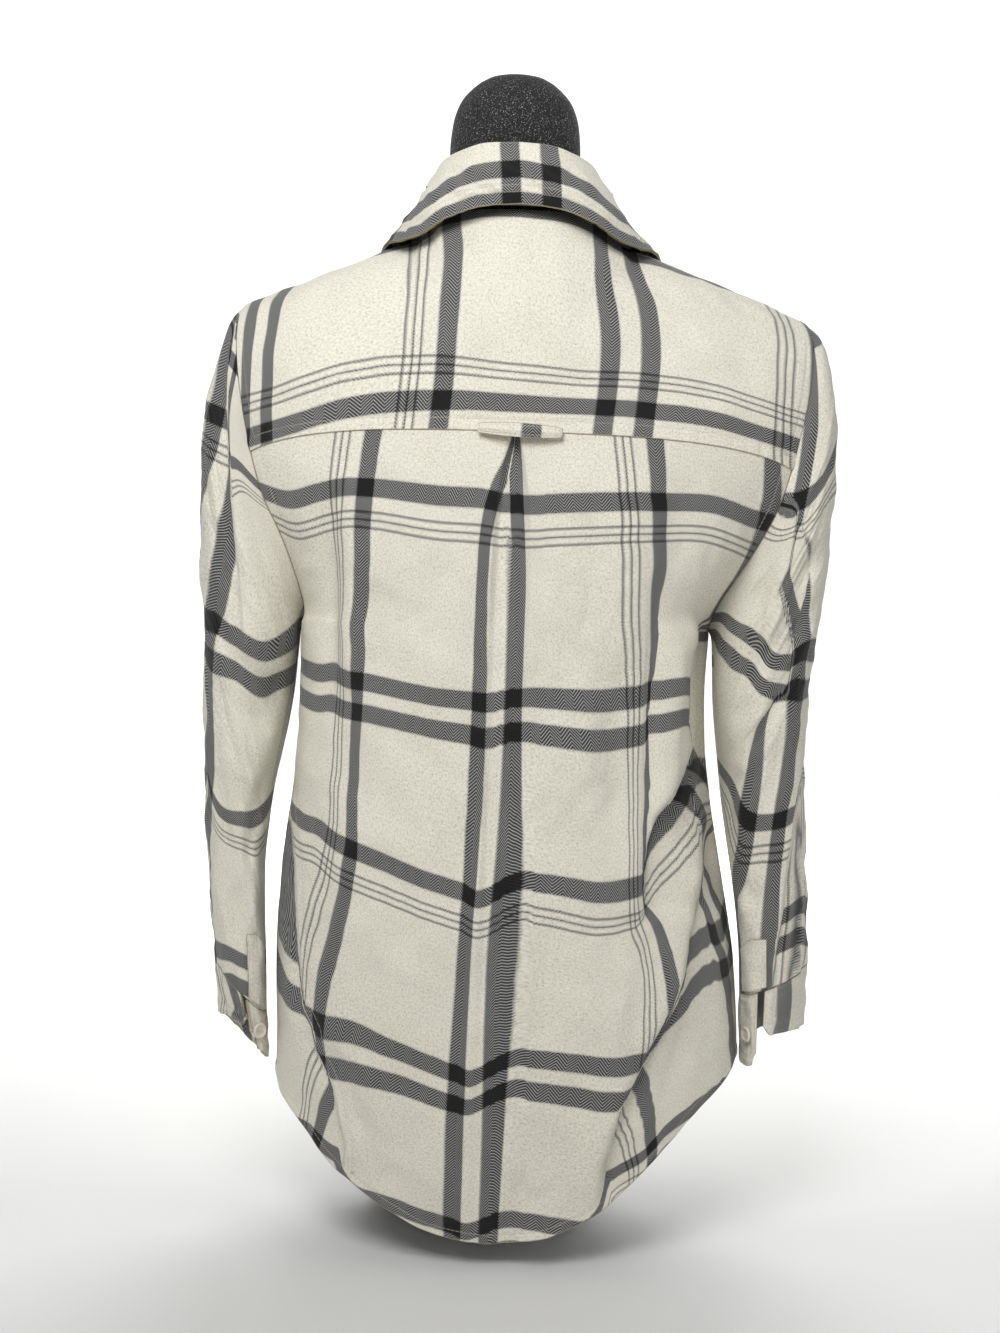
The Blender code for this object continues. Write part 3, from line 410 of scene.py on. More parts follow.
@dataclass(frozen=True)
class Drape:
    """Where the cloth's threads run on a hung panel.

    warp and weft hold, for a thread's place in the cut, a few places (x, z) where it lies. Between
    them the cloth shifts as evenly as it can.
    """

    warp: Marks
    weft: Marks
    across: int = 8
    up: int = 8
    stiff: float = 0.006

    @staticmethod
    def weights(share: Array, count: int) -> Array:
        """The pull of each of `count` evenly spaced stations on points at a share of the way."""
        place = np.clip(share, 0, 1) * (count - 3)
        i = np.minimum(place.astype(int), count - 4)
        f = place - i
        near = np.stack([
            (1 - f) ** 3 / 6,
            (3 * f**3 - 6 * f**2 + 4) / 6,
            (-3 * f**3 + 3 * f**2 + 3 * f + 1) / 6,
            f**3 / 6,
        ], -1)
        full = np.zeros((*place.shape, count))
        for k in range(4):
            np.put_along_axis(full, (i + k)[..., None], near[..., k:k + 1], -1)
        return full

    def even(self) -> Array:
        """Rows that ask neighbouring stations to shift alike, and that shift to change evenly."""
        rows = []
        order = np.arange(self.across * self.up).reshape(self.up, self.across)
        for lines in (order, order.T):
            for line in lines:
                for pull in ((-1, 1), (1, -2, 1)):
                    for i in range(len(line) - len(pull) + 1):
                        row = np.zeros(order.size)
                        row[line[i:i + len(pull)]] = np.array(pull) * self.stiff
                        rows.append(row)
        return np.array(rows)

    def shift(self, marks: Marks, grid: Array, plain: Array, seen: Array) -> Array:
        """How far the threads have moved from a plain layout.

        Args:
            marks: where some threads lie.
            grid: the panel's points.
            plain: each point's place in the cut if nothing had moved.
            seen: which points a mark may lie on.

        Returns:
            The shift at each of the grid's points.
        """
        rows, cols = plain.shape
        flat = np.where(seen[..., None], grid[..., [0, 2]], 1e6).reshape(-1, 2)
        spots, moves = [], []
        for value, places in marks.items():
            for place in places:
                nearest = int(np.argmin(((flat - np.array(place)) ** 2).sum(1)))
                spots.append(divmod(nearest, cols))
                moves.append(value - plain[spots[-1]])
        spots = np.array(spots, float)
        up = self.weights(spots[:, 0] / (rows - 1), self.up)
        across = self.weights(spots[:, 1] / (cols - 1), self.across)
        pull = np.einsum("ki,kj->kij", up, across).reshape(len(spots), -1)
        even = self.even() * math.sqrt(len(spots))
        wanted = np.concatenate([moves, np.zeros(len(even))])
        stations, *_ = np.linalg.lstsq(np.concatenate([pull, even]), wanted, rcond=None)
        stations = stations.reshape(self.up, self.across)
        rows_pull = self.weights(np.linspace(0, 1, rows), self.up)
        cols_pull = self.weights(np.linspace(0, 1, cols), self.across)
        return rows_pull @ stations @ cols_pull.T

    def lay(self, grid: Array, plain_u: Array, plain_v: Array, seen: Array | None = None) -> Array:
        """Each point's place in the cut, in mm, as (rows, columns, 2)."""
        seen = np.ones(plain_u.shape, bool) if seen is None else seen
        u = plain_u + self.shift(self.warp, grid, plain_u, seen)
        v = plain_v + self.shift(self.weft, grid, plain_v, seen)
        return np.stack([u, v], -1)


def joined(*groups: Marks) -> Marks:
    """Several sets of marks as one."""
    result: Marks = {}
    for group in groups:
        for place, spots in group.items():
            result[place] = result.get(place, ()) + spots
    return result


@dataclass(frozen=True)
class Tuck:
    """A crease where the cloth laps over itself, so that the plaid starts again beyond it.

    line holds (x, z) from the top down. beyond is 1 where the cloth on the line's right lies under the
    rest, and -1 where that on its left does. drop is how far it lies in, fading over reach, and roll
    how far the upper cloth's edge stands out. Below the line the two layouts blend over a width that
    grows with spread, and above it the first one holds.
    """

    line: tuple[tuple[float, float], ...]
    drape: Drape
    beyond: int = 1
    drop: float = 0.0
    roll: float = 0.0
    reach: float = 45.0
    soft: float = 0.9
    spread: float = 0.4
    fade: float = 22.0

    def past(self, x: Array, z: Array) -> tuple[Array, Array]:
        """How far points lie past the line, square to it, and how far above or below its ends."""
        places = np.array(self.line)[::-1]
        lean = np.gradient(places[:, 0], places[:, 1])
        middle = np.interp(z, places[:, 1], places[:, 0])
        slope = np.interp(z, places[:, 1], lean)
        ends = np.maximum(np.maximum(z - places[-1, 1], places[0, 1] - z), 0.0)
        return self.beyond * (x - middle) / np.sqrt(1 + slope**2), ends

    def share(self, x: Array, z: Array, seen: Array | None = None, outer: int = 0) -> Array:
        """1 past the line and 0 before it.

        Args:
            x: across, from the points.
            z: their height.
            seen: on a sleeve, the points of the half that the line lies on.
            outer: the value of beyond with which a tuck runs on round the sleeve's other half.

        Returns:
            The share of the tuck's layout at each point.
        """
        past, ends = self.past(x, z)
        share = smooth(-1.0, 1.0, past / (self.soft + self.spread * ends))
        if seen is not None:
            share = np.where(seen, share, float(self.beyond == outer))
        return share * fall_off(0.0, self.fade, z - self.line[0][1])

    def height(self, x: Array, z: Array) -> Array:
        """How far the crease moves the cloth outward, in mm."""
        past, ends = self.past(x, z)
        under = -self.drop * smooth(-0.5, 3.0, past) * np.exp(-np.maximum(past, 0.0) / self.reach)
        over = self.roll * np.exp(-(((past + 7.0) / np.where(past < -7.0, 13.0, 5.0)) ** 2))
        return (under + over) * fall_off(0.0, self.fade, ends)


def tucked(tucks: tuple[Tuck, ...], first: Drape, grid: Array, plain_u: Array, plain_v: Array,
           seen: Array | None = None, outer: int = 0) -> Array:
    """Each point's place in the cut on a panel that has tucks.

    Args:
        tucks: the tucks, each one laid over those before it.
        first: how the cloth lies before the first tuck.
        grid: the panel's points.
        plain_u: each point's place across the cut if nothing had moved.
        plain_v: its place up the cut.
        seen: which points a mark may lie on.
        outer: the value of beyond with which a tuck runs on over the points that are not seen.

    Returns:
        The places, in mm, as (rows, columns, 2).
    """
    cut = first.lay(grid, plain_u, plain_v, seen)
    for tuck in tucks:
        share = tuck.share(grid[..., 0], grid[..., 2], seen, outer)
        cut = cut + (tuck.drape.lay(grid, plain_u, plain_v, seen) - cut) * share[..., None]
    return cut


# ---------------------------------------------------------------- meshes
@dataclass
class Shell:
    """A thin wall of cloth on a grid of points, with its two sets of texture places.

    cut is each point's place in the flat cloth, and seam is (distance from the sewn edge, length
    along it), both in mm.
    """

    name: str
    grid: Array
    cut: Array
    seam: Array
    thick: float = 1.3

    def faces(self) -> Array:
        """The wall's four-cornered faces: outside, inside and the rims between them."""
        rows, cols = self.grid.shape[:2]
        order = np.arange(rows * cols).reshape(rows, cols)
        back = rows * cols
        a, b, c, d = order[:-1, :-1], order[:-1, 1:], order[1:, 1:], order[1:, :-1]
        front = np.stack([a, b, c, d], -1).reshape(-1, 4)
        inside = np.stack([a, d, c, b], -1).reshape(-1, 4) + back
        rims = []
        for line in (order[0], order[:, -1], order[-1, ::-1], order[::-1, 0]):
            rims.append(np.stack([line[:-1], line[:-1] + back, line[1:] + back, line[1:]], -1))
        return np.concatenate([front, inside, *rims])

    def build(self) -> bpy.types.Object:
        """Makes the object, in metres."""
        inner = self.grid - outward(self.grid) * self.thick
        points = np.concatenate([self.grid.reshape(-1, 3), inner.reshape(-1, 3)]) * MM
        layers = {name: np.tile(uv.reshape(-1, 2) * MM, (2, 1)) for name, uv in (
            ("cut", self.cut), ("seam", self.seam),
        )}
        return mesh_object(self.name, points, self.faces(), layers)


def mesh_object(
    name: str, points: Array, faces: Array | list, layers: dict[str, Array],
) -> bpy.types.Object:
    """Makes a smooth-shaded object.

    Args:
        name: its name.
        points: its corners, in metres.
        faces: the corners of each face.
        layers: texture places by layer name, one for each point.

    Returns:
        The object, linked to the scene.
    """
    mesh = bpy.data.meshes.new(name)
    mesh.from_pydata(points.tolist(), [], faces.tolist() if isinstance(faces, np.ndarray) else faces)
    mesh.update()
    corners = np.zeros(len(mesh.loops), int)
    mesh.loops.foreach_get("vertex_index", corners)
    for layer_name, places in layers.items():
        layer = mesh.uv_layers.new(name=layer_name)
        layer.data.foreach_set("uv", places[corners].ravel())
    mesh.shade_smooth()
    mesh.set_sharp_from_angle(angle=math.radians(50))
    made = bpy.data.objects.new(name, mesh)
    bpy.context.scene.collection.objects.link(made)
    return made


def sew(piece: bpy.types.Object, slot: Slot, material: bpy.types.Material, *nodes: str) -> None:
    """Finishes a piece: its material, its body and the solids it stands for.

    Args:
        piece: the object.
        slot: not used.
        material: its finish.
        nodes: the solids it replaces.
    """
    piece.data.materials.append(material)
    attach(piece, "root")
    if nodes:
        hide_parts(*nodes)
    log.info("%s: %d faces", piece.name, len(piece.data.polygons))


def nearest_edge(*distances: Array) -> Array:
    """The smallest of several distances, point by point."""
    return np.minimum.reduce(np.broadcast_arrays(*distances))


def from_edges(way: Array, axis: int) -> Array:
    """How far each point lies from the nearer end of its row (axis 1) or column (axis 0)."""
    return np.minimum(way, np.take(way, [-1], axis) - way)


def edge_seam(up: Array, side: Array, across: Array) -> Array:
    """The stitching's places round a panel: away from its lower and side edges, and along them."""
    return np.stack([nearest_edge(up, side), np.where(up < side, across, up)], -1)


def hemmed(grid: Array, up: Array) -> Array:
    """The grid with its lower edge stood out where the cloth is turned up."""
    return grid + outward(grid) * (0.7 * fall_off(4.5, 7.0, up))[..., None]


# ---------------------------------------------------------------- finishes
Socket = bpy.types.NodeSocket
Value = Socket | float | tuple
Colour = tuple[int, int, int]


def linear(red: int, green: int, blue: int) -> tuple[float, float, float, float]:
    """A screen colour as the linear light that a shader takes."""
    def channel(level: int) -> float:
        """One channel of it."""
        share = level / 255
        return share / 12.92 if share <= 0.04045 else ((share + 0.055) / 1.055) ** 2.4

    return channel(red), channel(green), channel(blue), 1.0


class Graph:
    """Builds one material's nodes from short calls."""

    def __init__(self, name: str) -> None:
        """Starts a material with one Principled shader."""
        self.material = bpy.data.materials.new(name)
        self.material.use_nodes = True
        self.tree = self.material.node_tree
        self.shader = self.tree.nodes["Principled BSDF"]

    def add(self, kind: str, inputs: dict[str | int, Value], **settings: object) -> bpy.types.Node:
        """A node with its inputs set or linked."""
        node = self.tree.nodes.new(kind)
        for key, value in settings.items():
            setattr(node, key, value)
        for key, value in inputs.items():
            self.feed(node.inputs[key], value)
        return node

    def feed(self, socket: Socket, value: Value) -> None:
        """Links a value into a socket, or sets it."""
        if isinstance(value, bpy.types.NodeSocket):
            self.tree.links.new(value, socket)
        else:
            socket.default_value = value

    def math(self, operation: str, *values: Value) -> Socket:
        """The result of a Math node."""
        return self.add("ShaderNodeMath", dict(enumerate(values)), operation=operation).outputs[0]

    def plus(self, first: Value, second: Value) -> Socket:
        """The sum."""
        return self.math("ADD", first, second)

    def minus(self, first: Value, second: Value) -> Socket:
        """The first less the second."""
        return self.math("SUBTRACT", first, second)

    def times(self, first: Value, second: Value) -> Socket:
        """The product."""
        return self.math("MULTIPLY", first, second)

    def over(self, first: Value, second: Value) -> Socket:
        """The first divided by the second."""
        return self.math("DIVIDE", first, second)

    def place(self, layer: str) -> tuple[Socket, Socket]:
        """The two texture places of a layer, in mm."""
        uv = self.add("ShaderNodeUVMap", {}, uv_map=layer).outputs[0]
        split = self.add("ShaderNodeSeparateXYZ", {0: uv})
        return self.times(split.outputs[0], 1 / MM), self.times(split.outputs[1], 1 / MM)

    def solid_place(self) -> Socket:
        """The place inside the object, in mm."""
        place = self.add("ShaderNodeTexCoord", {}).outputs["Object"]
        return self.add("ShaderNodeVectorMath", {0: place, 3: 1 / MM}, operation="SCALE").outputs[0]

    def join(self, x: Value, y: Value, z: Value = 0.0) -> Socket:
        """A vector from its parts."""
        return self.add("ShaderNodeCombineXYZ", {0: x, 1: y, 2: z}).outputs[0]

    def noise(self, at: Socket, scale: float, detail: float = 2.0, rough: float = 0.5) -> Socket:
        """Soft noise between 0 and 1, on a vector in mm; scale is in waves per mm."""
        return self.add(
            "ShaderNodeTexNoise", {"Vector": at, "Scale": scale, "Detail": detail, "Roughness": rough},
        ).outputs[0]

    def mix(self, share: Value, low: Value, high: Value) -> Socket:
        """A blend of two colours."""
        node = self.add("ShaderNodeMix", {}, data_type="RGBA")
        self.feed(node.inputs[0], share)
        self.feed(node.inputs[6], low)
        self.feed(node.inputs[7], high)
        return node.outputs[2]

    def steps(self, value: Socket, stops: list[tuple[float, float]]) -> Socket:
        """A grey ramp through stops of (place, level)."""
        node = self.add("ShaderNodeValToRGB", {0: value})
        ramp = node.color_ramp
        ramp.interpolation = "LINEAR"
        while len(ramp.elements) < len(stops):
            ramp.elements.new(0.5)
        for element, (at, level) in zip(ramp.elements, stops):
            element.position = at
        for element, (at, level) in zip(ramp.elements, stops):
            element.color = (level, level, level, 1)
        return node.outputs[0]

    def soft(self, value: Value, low: float, high: float) -> Socket:
        """0 below low and 1 above high, softly."""
        inputs = {0: value, 1: low, 2: high, 3: 0.0, 4: 1.0}
        return self.add("ShaderNodeMapRange", inputs, interpolation_type="SMOOTHSTEP").outputs[0]

    def bump(self, height: Socket, distance: float, strength: float = 1.0) -> None:
        """Lets a height in mm tilt the shader's surface."""
        inputs = {"Strength": strength, "Distance": distance * MM, "Height": height}
        self.feed(self.shader.inputs["Normal"], self.add("ShaderNodeBump", inputs).outputs[0])

    def finish(
        self, colour: Socket, roughness: float, sheen: float = 0.0, sheen_roughness: float = 0.5,
    ) -> None:
        """Sets the shader's colour, gloss and sheen."""
        self.feed(self.shader.inputs["Base Color"], colour)
        self.shader.inputs["Roughness"].default_value = roughness
        self.shader.inputs["Sheen Weight"].default_value = sheen
        self.shader.inputs["Sheen Roughness"].default_value = sheen_roughness


@dataclass(frozen=True)
class Sett:
    """The plaid: stripes of charcoal yarn that repeat along the warp and along the weft, in mm.

    Each stripe is (its middle, its width). lead keeps every stripe clear of the repeat's ends.
    """

    warp_repeat: float = 264.0
    warp: tuple[tuple[float, float], ...] = (
        (-5.6, 1.5), (0.0, 1.5), (5.6, 1.5), (23.8, 14.0), (139.3, 14.0), (168.0, 14.0),
    )
    weft_repeat: float = 256.0
    weft: tuple[tuple[float, float], ...] = (
        (-5.6, 1.5), (0.0, 1.5), (5.6, 1.5), (23.0, 13.5), (122.0, 13.5), (145.0, 13.5),
    )
    lead: float = 40.0
    edge: float = 0.45

    def stripes(
        self, graph: Graph, place: Socket, repeat: float, bands: tuple[tuple[float, float], ...],
    ) -> Socket:
        """1 on the stripes and 0 between them, along one direction of the cloth.

        Args:
            graph: the material's graph.
            place: the place along that direction, in mm.
            repeat: how long one repeat is.
            bands: each stripe's middle and width.

        Returns:
            Where the stripes are.
        """
        share = graph.math("FRACT", graph.over(graph.plus(place, self.lead), repeat))
        stops = []
        for middle, width in bands:
            at, half = middle + self.lead, width / 2
            stops += [
                ((at - half - self.edge) / repeat, 0.0), ((at - half + self.edge) / repeat, 1.0),
                ((at + half - self.edge) / repeat, 1.0), ((at + half + self.edge) / repeat, 0.0),
            ]
        return graph.steps(share, stops)


@dataclass(frozen=True)
class Flannel:
    """Brushed cotton flannel in a cream and charcoal plaid, with rows of topstitching and a painted shadow
    line along the sewn edge.
    """

    name: str
    stitch_rows: tuple[float, ...] = ()
    sett: Sett = Sett()
    cream: Colour = (241, 238, 225)
    cream_shade: Colour = (206, 202, 186)
    grain: Colour = (168, 158, 148)
    charcoal: Colour = (58, 59, 62)
    fleck: Colour = (190, 189, 184)
    crossing: Colour = (13, 13, 15)
    thread: Colour = (205, 198, 182)
    # Colour of the painted shadow line along each sewn edge.
    seam_shadow: Colour = (160, 148, 122)
    twill: float = 2.2
    column: float = 7.0
    stitch: float = 3.1
    thread_width: float = 0.75

    def material(self) -> bpy.types.Material:
        """Makes the finish."""
        graph = Graph(self.name)
        u, v = graph.place("cut")
        cloth = graph.join(u, v)
        wander = graph.times(graph.minus(graph.noise(cloth, 0.8, 3.0, 0.7), 0.5), 1.7)
        warp = self.sett.stripes(graph, graph.plus(u, wander), self.sett.warp_repeat, self.sett.warp)
        weft = self.sett.stripes(graph, graph.plus(v, wander), self.sett.weft_repeat, self.sett.weft)
        slant = graph.plus(graph.math("PINGPONG", u, self.column), v)
        rib = graph.times(graph.math("PINGPONG", graph.over(slant, self.twill), 0.5), 2.0)
        nap = graph.noise(cloth, 0.62, 3.0, 0.75)
        fuzz = graph.noise(cloth, 1.6, 3.0, 0.7)
        blotch = graph.noise(cloth, 0.03, 3.0, 0.5)
        shade = graph.plus(graph.soft(nap, 0.40, 0.66), graph.times(blotch, 0.5))
        cream = graph.mix(graph.times(shade, 0.72), linear(*self.cream), linear(*self.cream_shade))
        specks = graph.soft(graph.noise(graph.join(v, u), 0.55, 2.0, 0.6), 0.57, 0.70)
        cream = graph.mix(graph.times(specks, 0.5), cream, linear(*self.grain))
        hatch = graph.soft(graph.plus(rib, graph.times(fuzz, 0.6)), 0.80, 1.20)
        yarn = graph.mix(graph.times(hatch, 0.80), linear(*self.charcoal), linear(*self.fleck))
        either = graph.math("MAXIMUM", warp, weft)
        both = graph.times(graph.times(warp, weft), 0.97)
        colour = graph.mix(either, cream, yarn)
        colour = graph.mix(both, colour, linear(*self.crossing))
        height = graph.plus(graph.times(rib, 0.08), graph.times(nap, 0.75))
        if self.stitch_rows:
            thread, dip = self.stitches(graph)
            colour = graph.mix(graph.times(thread, 0.35), colour, linear(*self.thread))
            # Painted shadow: the cloth within about half a millimetre of the sewn edge is darkened, where a
            # seam or fold would shade it.
            edge = graph.minus(1.0, graph.soft(graph.place("seam")[0], 0.25, 0.75))
            colour = graph.mix(graph.times(edge, 0.8), colour, linear(*self.seam_shadow))
            height = graph.plus(height, dip)
        graph.finish(colour, 0.94, 0.12, 0.6)
        graph.shader.inputs["Specular IOR Level"].default_value = 0.2
        graph.bump(height, 1.0, 0.8)
        return graph.material

    def stitches(self, graph: Graph) -> tuple[Socket, Socket]:
        """Rows of running stitch at set distances from the sewn edge.

        Args:
            graph: the material's graph.

        Returns:
            Where thread shows, and the height in mm that the rows add to the cloth.
        """
        away, along = graph.place("seam")
        dash = graph.math("PINGPONG", graph.over(along, self.stitch), 0.5)
        dash = graph.soft(dash, 0.07, 0.15)
        line: Value = 0.0
        valley: Value = 0.0
        for row in self.stitch_rows:
            apart = graph.math("ABSOLUTE", graph.minus(away, row))
            on_row = graph.minus(1.0, graph.soft(apart, self.thread_width * 0.3, self.thread_width * 0.7))
            near = graph.minus(1.0, graph.soft(apart, 0.2, 2.4))
            line = graph.math("MAXIMUM", line, on_row)
            valley = graph.math("MAXIMUM", valley, near)
        pucker = graph.noise(graph.join(graph.times(along, 0.16), graph.times(away, 0.03)), 1.0)
        thread = graph.times(line, dash)
        dip = graph.times(valley, graph.minus(graph.times(pucker, 1.3), 1.1))
        return thread, graph.plus(dip, graph.times(thread, 0.25))


@dataclass(frozen=True)
class Jersey:
    """The form's black cotton jersey, with fine pale flecks."""

    name: str = "black_jersey_cover"
    ground: Colour = (12, 12, 14)
    worn: Colour = (27, 27, 29)
    fleck: Colour = (214, 214, 215)

    def material(self) -> bpy.types.Material:
        """Makes the finish."""
        graph = Graph(self.name)
        at = graph.solid_place()
        loops = graph.noise(at, 1.1, 3.0, 0.6)
        specks = graph.soft(graph.noise(at, 1.25, 2.0, 0.7), 0.59, 0.70)
        ground = graph.mix(loops, linear(*self.ground), linear(*self.worn))
        graph.finish(graph.mix(graph.times(specks, 0.7), ground, linear(*self.fleck)), 0.9, 0.06)
        graph.bump(loops, 0.35)
        return graph.material


@dataclass(frozen=True)
class Plain:
    """A plain finish with a little grain: button plastic, sewing thread or a painted wall."""

    name: str
    colour: Colour
    roughness: float
    grain: float = 0.05
    scale: float = 0.4
    sheen: float = 0.0

    def material(self) -> bpy.types.Material:
        """Makes the finish."""
        graph = Graph(self.name)
        at = graph.solid_place()
        cloud = graph.noise(at, self.scale, 3.0, 0.5)
        light = linear(*self.colour)
        dark = tuple(level * (1 - 2 * self.grain) for level in light[:3]) + (1.0,)
        graph.finish(graph.mix(cloud, light, dark), self.roughness, self.sheen)
        graph.bump(cloud, self.grain)
        return graph.material


# ---------------------------------------------------------------- back panel
# Where the plaid's threads lie on the back, in mm: (x, z) by each thread's place in the cut.
BACK_MIDDLE = (
    {
        139.3: ((-12, 496), (-12, 392), (-12, 336), (-15, 215), (-18, 135), (-18, 27)),
        168.0: ((13, 496), (12, 391), (12, 335), (7, 216), (7, 143), (7, 17)),
    },
    {
        23.0: ((-57, 532), (-13, 529), (8, 527), (19, 526), (31, 528)),
        0.0: ((39, 504),),
        -111.0: ((-67, 395), (16, 392), (73, 393)),
        -134.0: ((-67, 375), (16, 371), (73, 366)),
        -233.0: ((-37, 266), (-19, 257), (27, 267), (49, 267)),
        -256.0: ((-37, 245), (28, 249), (50, 244)),
        -367.0: ((-18, 135), (12, 143), (30, 149), (52, 145)),
        -390.0: ((-18, 114), (7, 122), (35, 125), (52, 122)),
        -489.0: ((-74, 43), (-48, 36), (-21, 28), (7, 31), (35, 34), (62, 36)),
    },
)
BACK_LEFT = (
    {
        0.0: (
            (-115, 548), (-112, 456), (-111, 358), (-111, 304), (-111, 285), (-117, 266), (-121, 244),
            (-128, 219), (-130, 199), (-128, 182),
        ),
        23.8: (
            (-92, 568), (-97, 457), (-97, 385), (-99, 331), (-96, 286), (-100, 256), (-105, 221),
            (-113, 187), (-116, 164), (-117, 147), (-114, 134),
        ),
    },
    {
        23.0: ((-168, 530), (-158, 528), (-145, 526), (-134, 528), (-119, 533), (-109, 536), (-70, 532)),
        0.0: ((-165, 512), (-149, 504), (-133, 507), (-116, 512), (-98, 514), (-70, 509)),
        -111.0: ((-140, 407), (-100, 402)),
        -134.0: ((-134, 383), (-99, 379)),
        -233.0: ((-147, 302), (-134, 297), (-122, 294), (-109, 287), (-97, 284), (-87, 279)),
        -256.0: ((-143, 279), (-129, 276), (-115, 271), (-102, 265), (-87, 256)),
        -367.0: ((-126, 164), (-116, 157), (-101, 157), (-82, 157)),
        -390.0: ((-112, 129), (-101, 125), (-81, 129)),
    },
)
BACK_RIGHT = (
    {
        264.0: (
            (80, 577), (82, 564), (86, 536), (88, 493), (92, 458), (94, 421), (95, 395), (98, 369),
            (97, 342), (99, 316), (101, 291), (101, 274), (102, 255),
        ),
        280.8: (
            (99, 576), (103, 555), (107, 512), (109, 472), (109, 429), (108, 404), (106, 377),
            (105, 332), (106, 304), (103, 270), (105, 253),
        ),
        294.8: ((110, 576), (111, 537), (114, 494), (113, 473), (115, 430)),
    },
    {
        23.0: ((66, 530), (96, 531)),
        0.0: ((67, 506), (96, 509)),
        -111.0: ((87, 393), (95, 395), (104, 398)),
        -134.0: ((90, 366), (98, 367), (104, 371)),
        -233.0: ((66, 258), (81, 260), (94, 264), (104, 267)),
        -256.0: ((64, 239), (80, 237), (94, 239), (103, 244)),
        -367.0: ((71, 146), (87, 144)),
        -390.0: ((71, 120), (84, 117)),
    },
)
BACK_TOP_RIGHT = (
    {
        294.8: ((111, 555), (114, 494)),
        403.3: ((189, 561), (189, 536), (190, 522), (186, 508), (175, 490), (168, 477)),
    },
    {
        23.0: ((122, 532), (138, 533), (161, 530), (171, 524), (190, 522)),
        0.0: ((125, 512), (138, 509), (157, 510), (178, 502)),
    },
)
BACK_LOW_RIGHT = (
    {
        264.0: ((104, 239), (108, 226), (112, 211), (113, 194), (112, 176), (114, 158)),
        287.8: ((111, 245), (119, 230), (124, 216), (130, 200), (130, 187), (128, 175)),
    },
    {-367.0: ((107, 146),), -390.0: ((99, 120),)},
)


def drape(*sets: tuple[Marks, Marks], across: int = 16, up: int = 14, stiff: float = 0.006) -> Drape:
    """A drape through several sets of marks, each (warp, weft)."""
    warp, weft = (joined(*(group[i] for group in sets)) for i in (0, 1))
    return Drape(warp, weft, across, up, stiff)


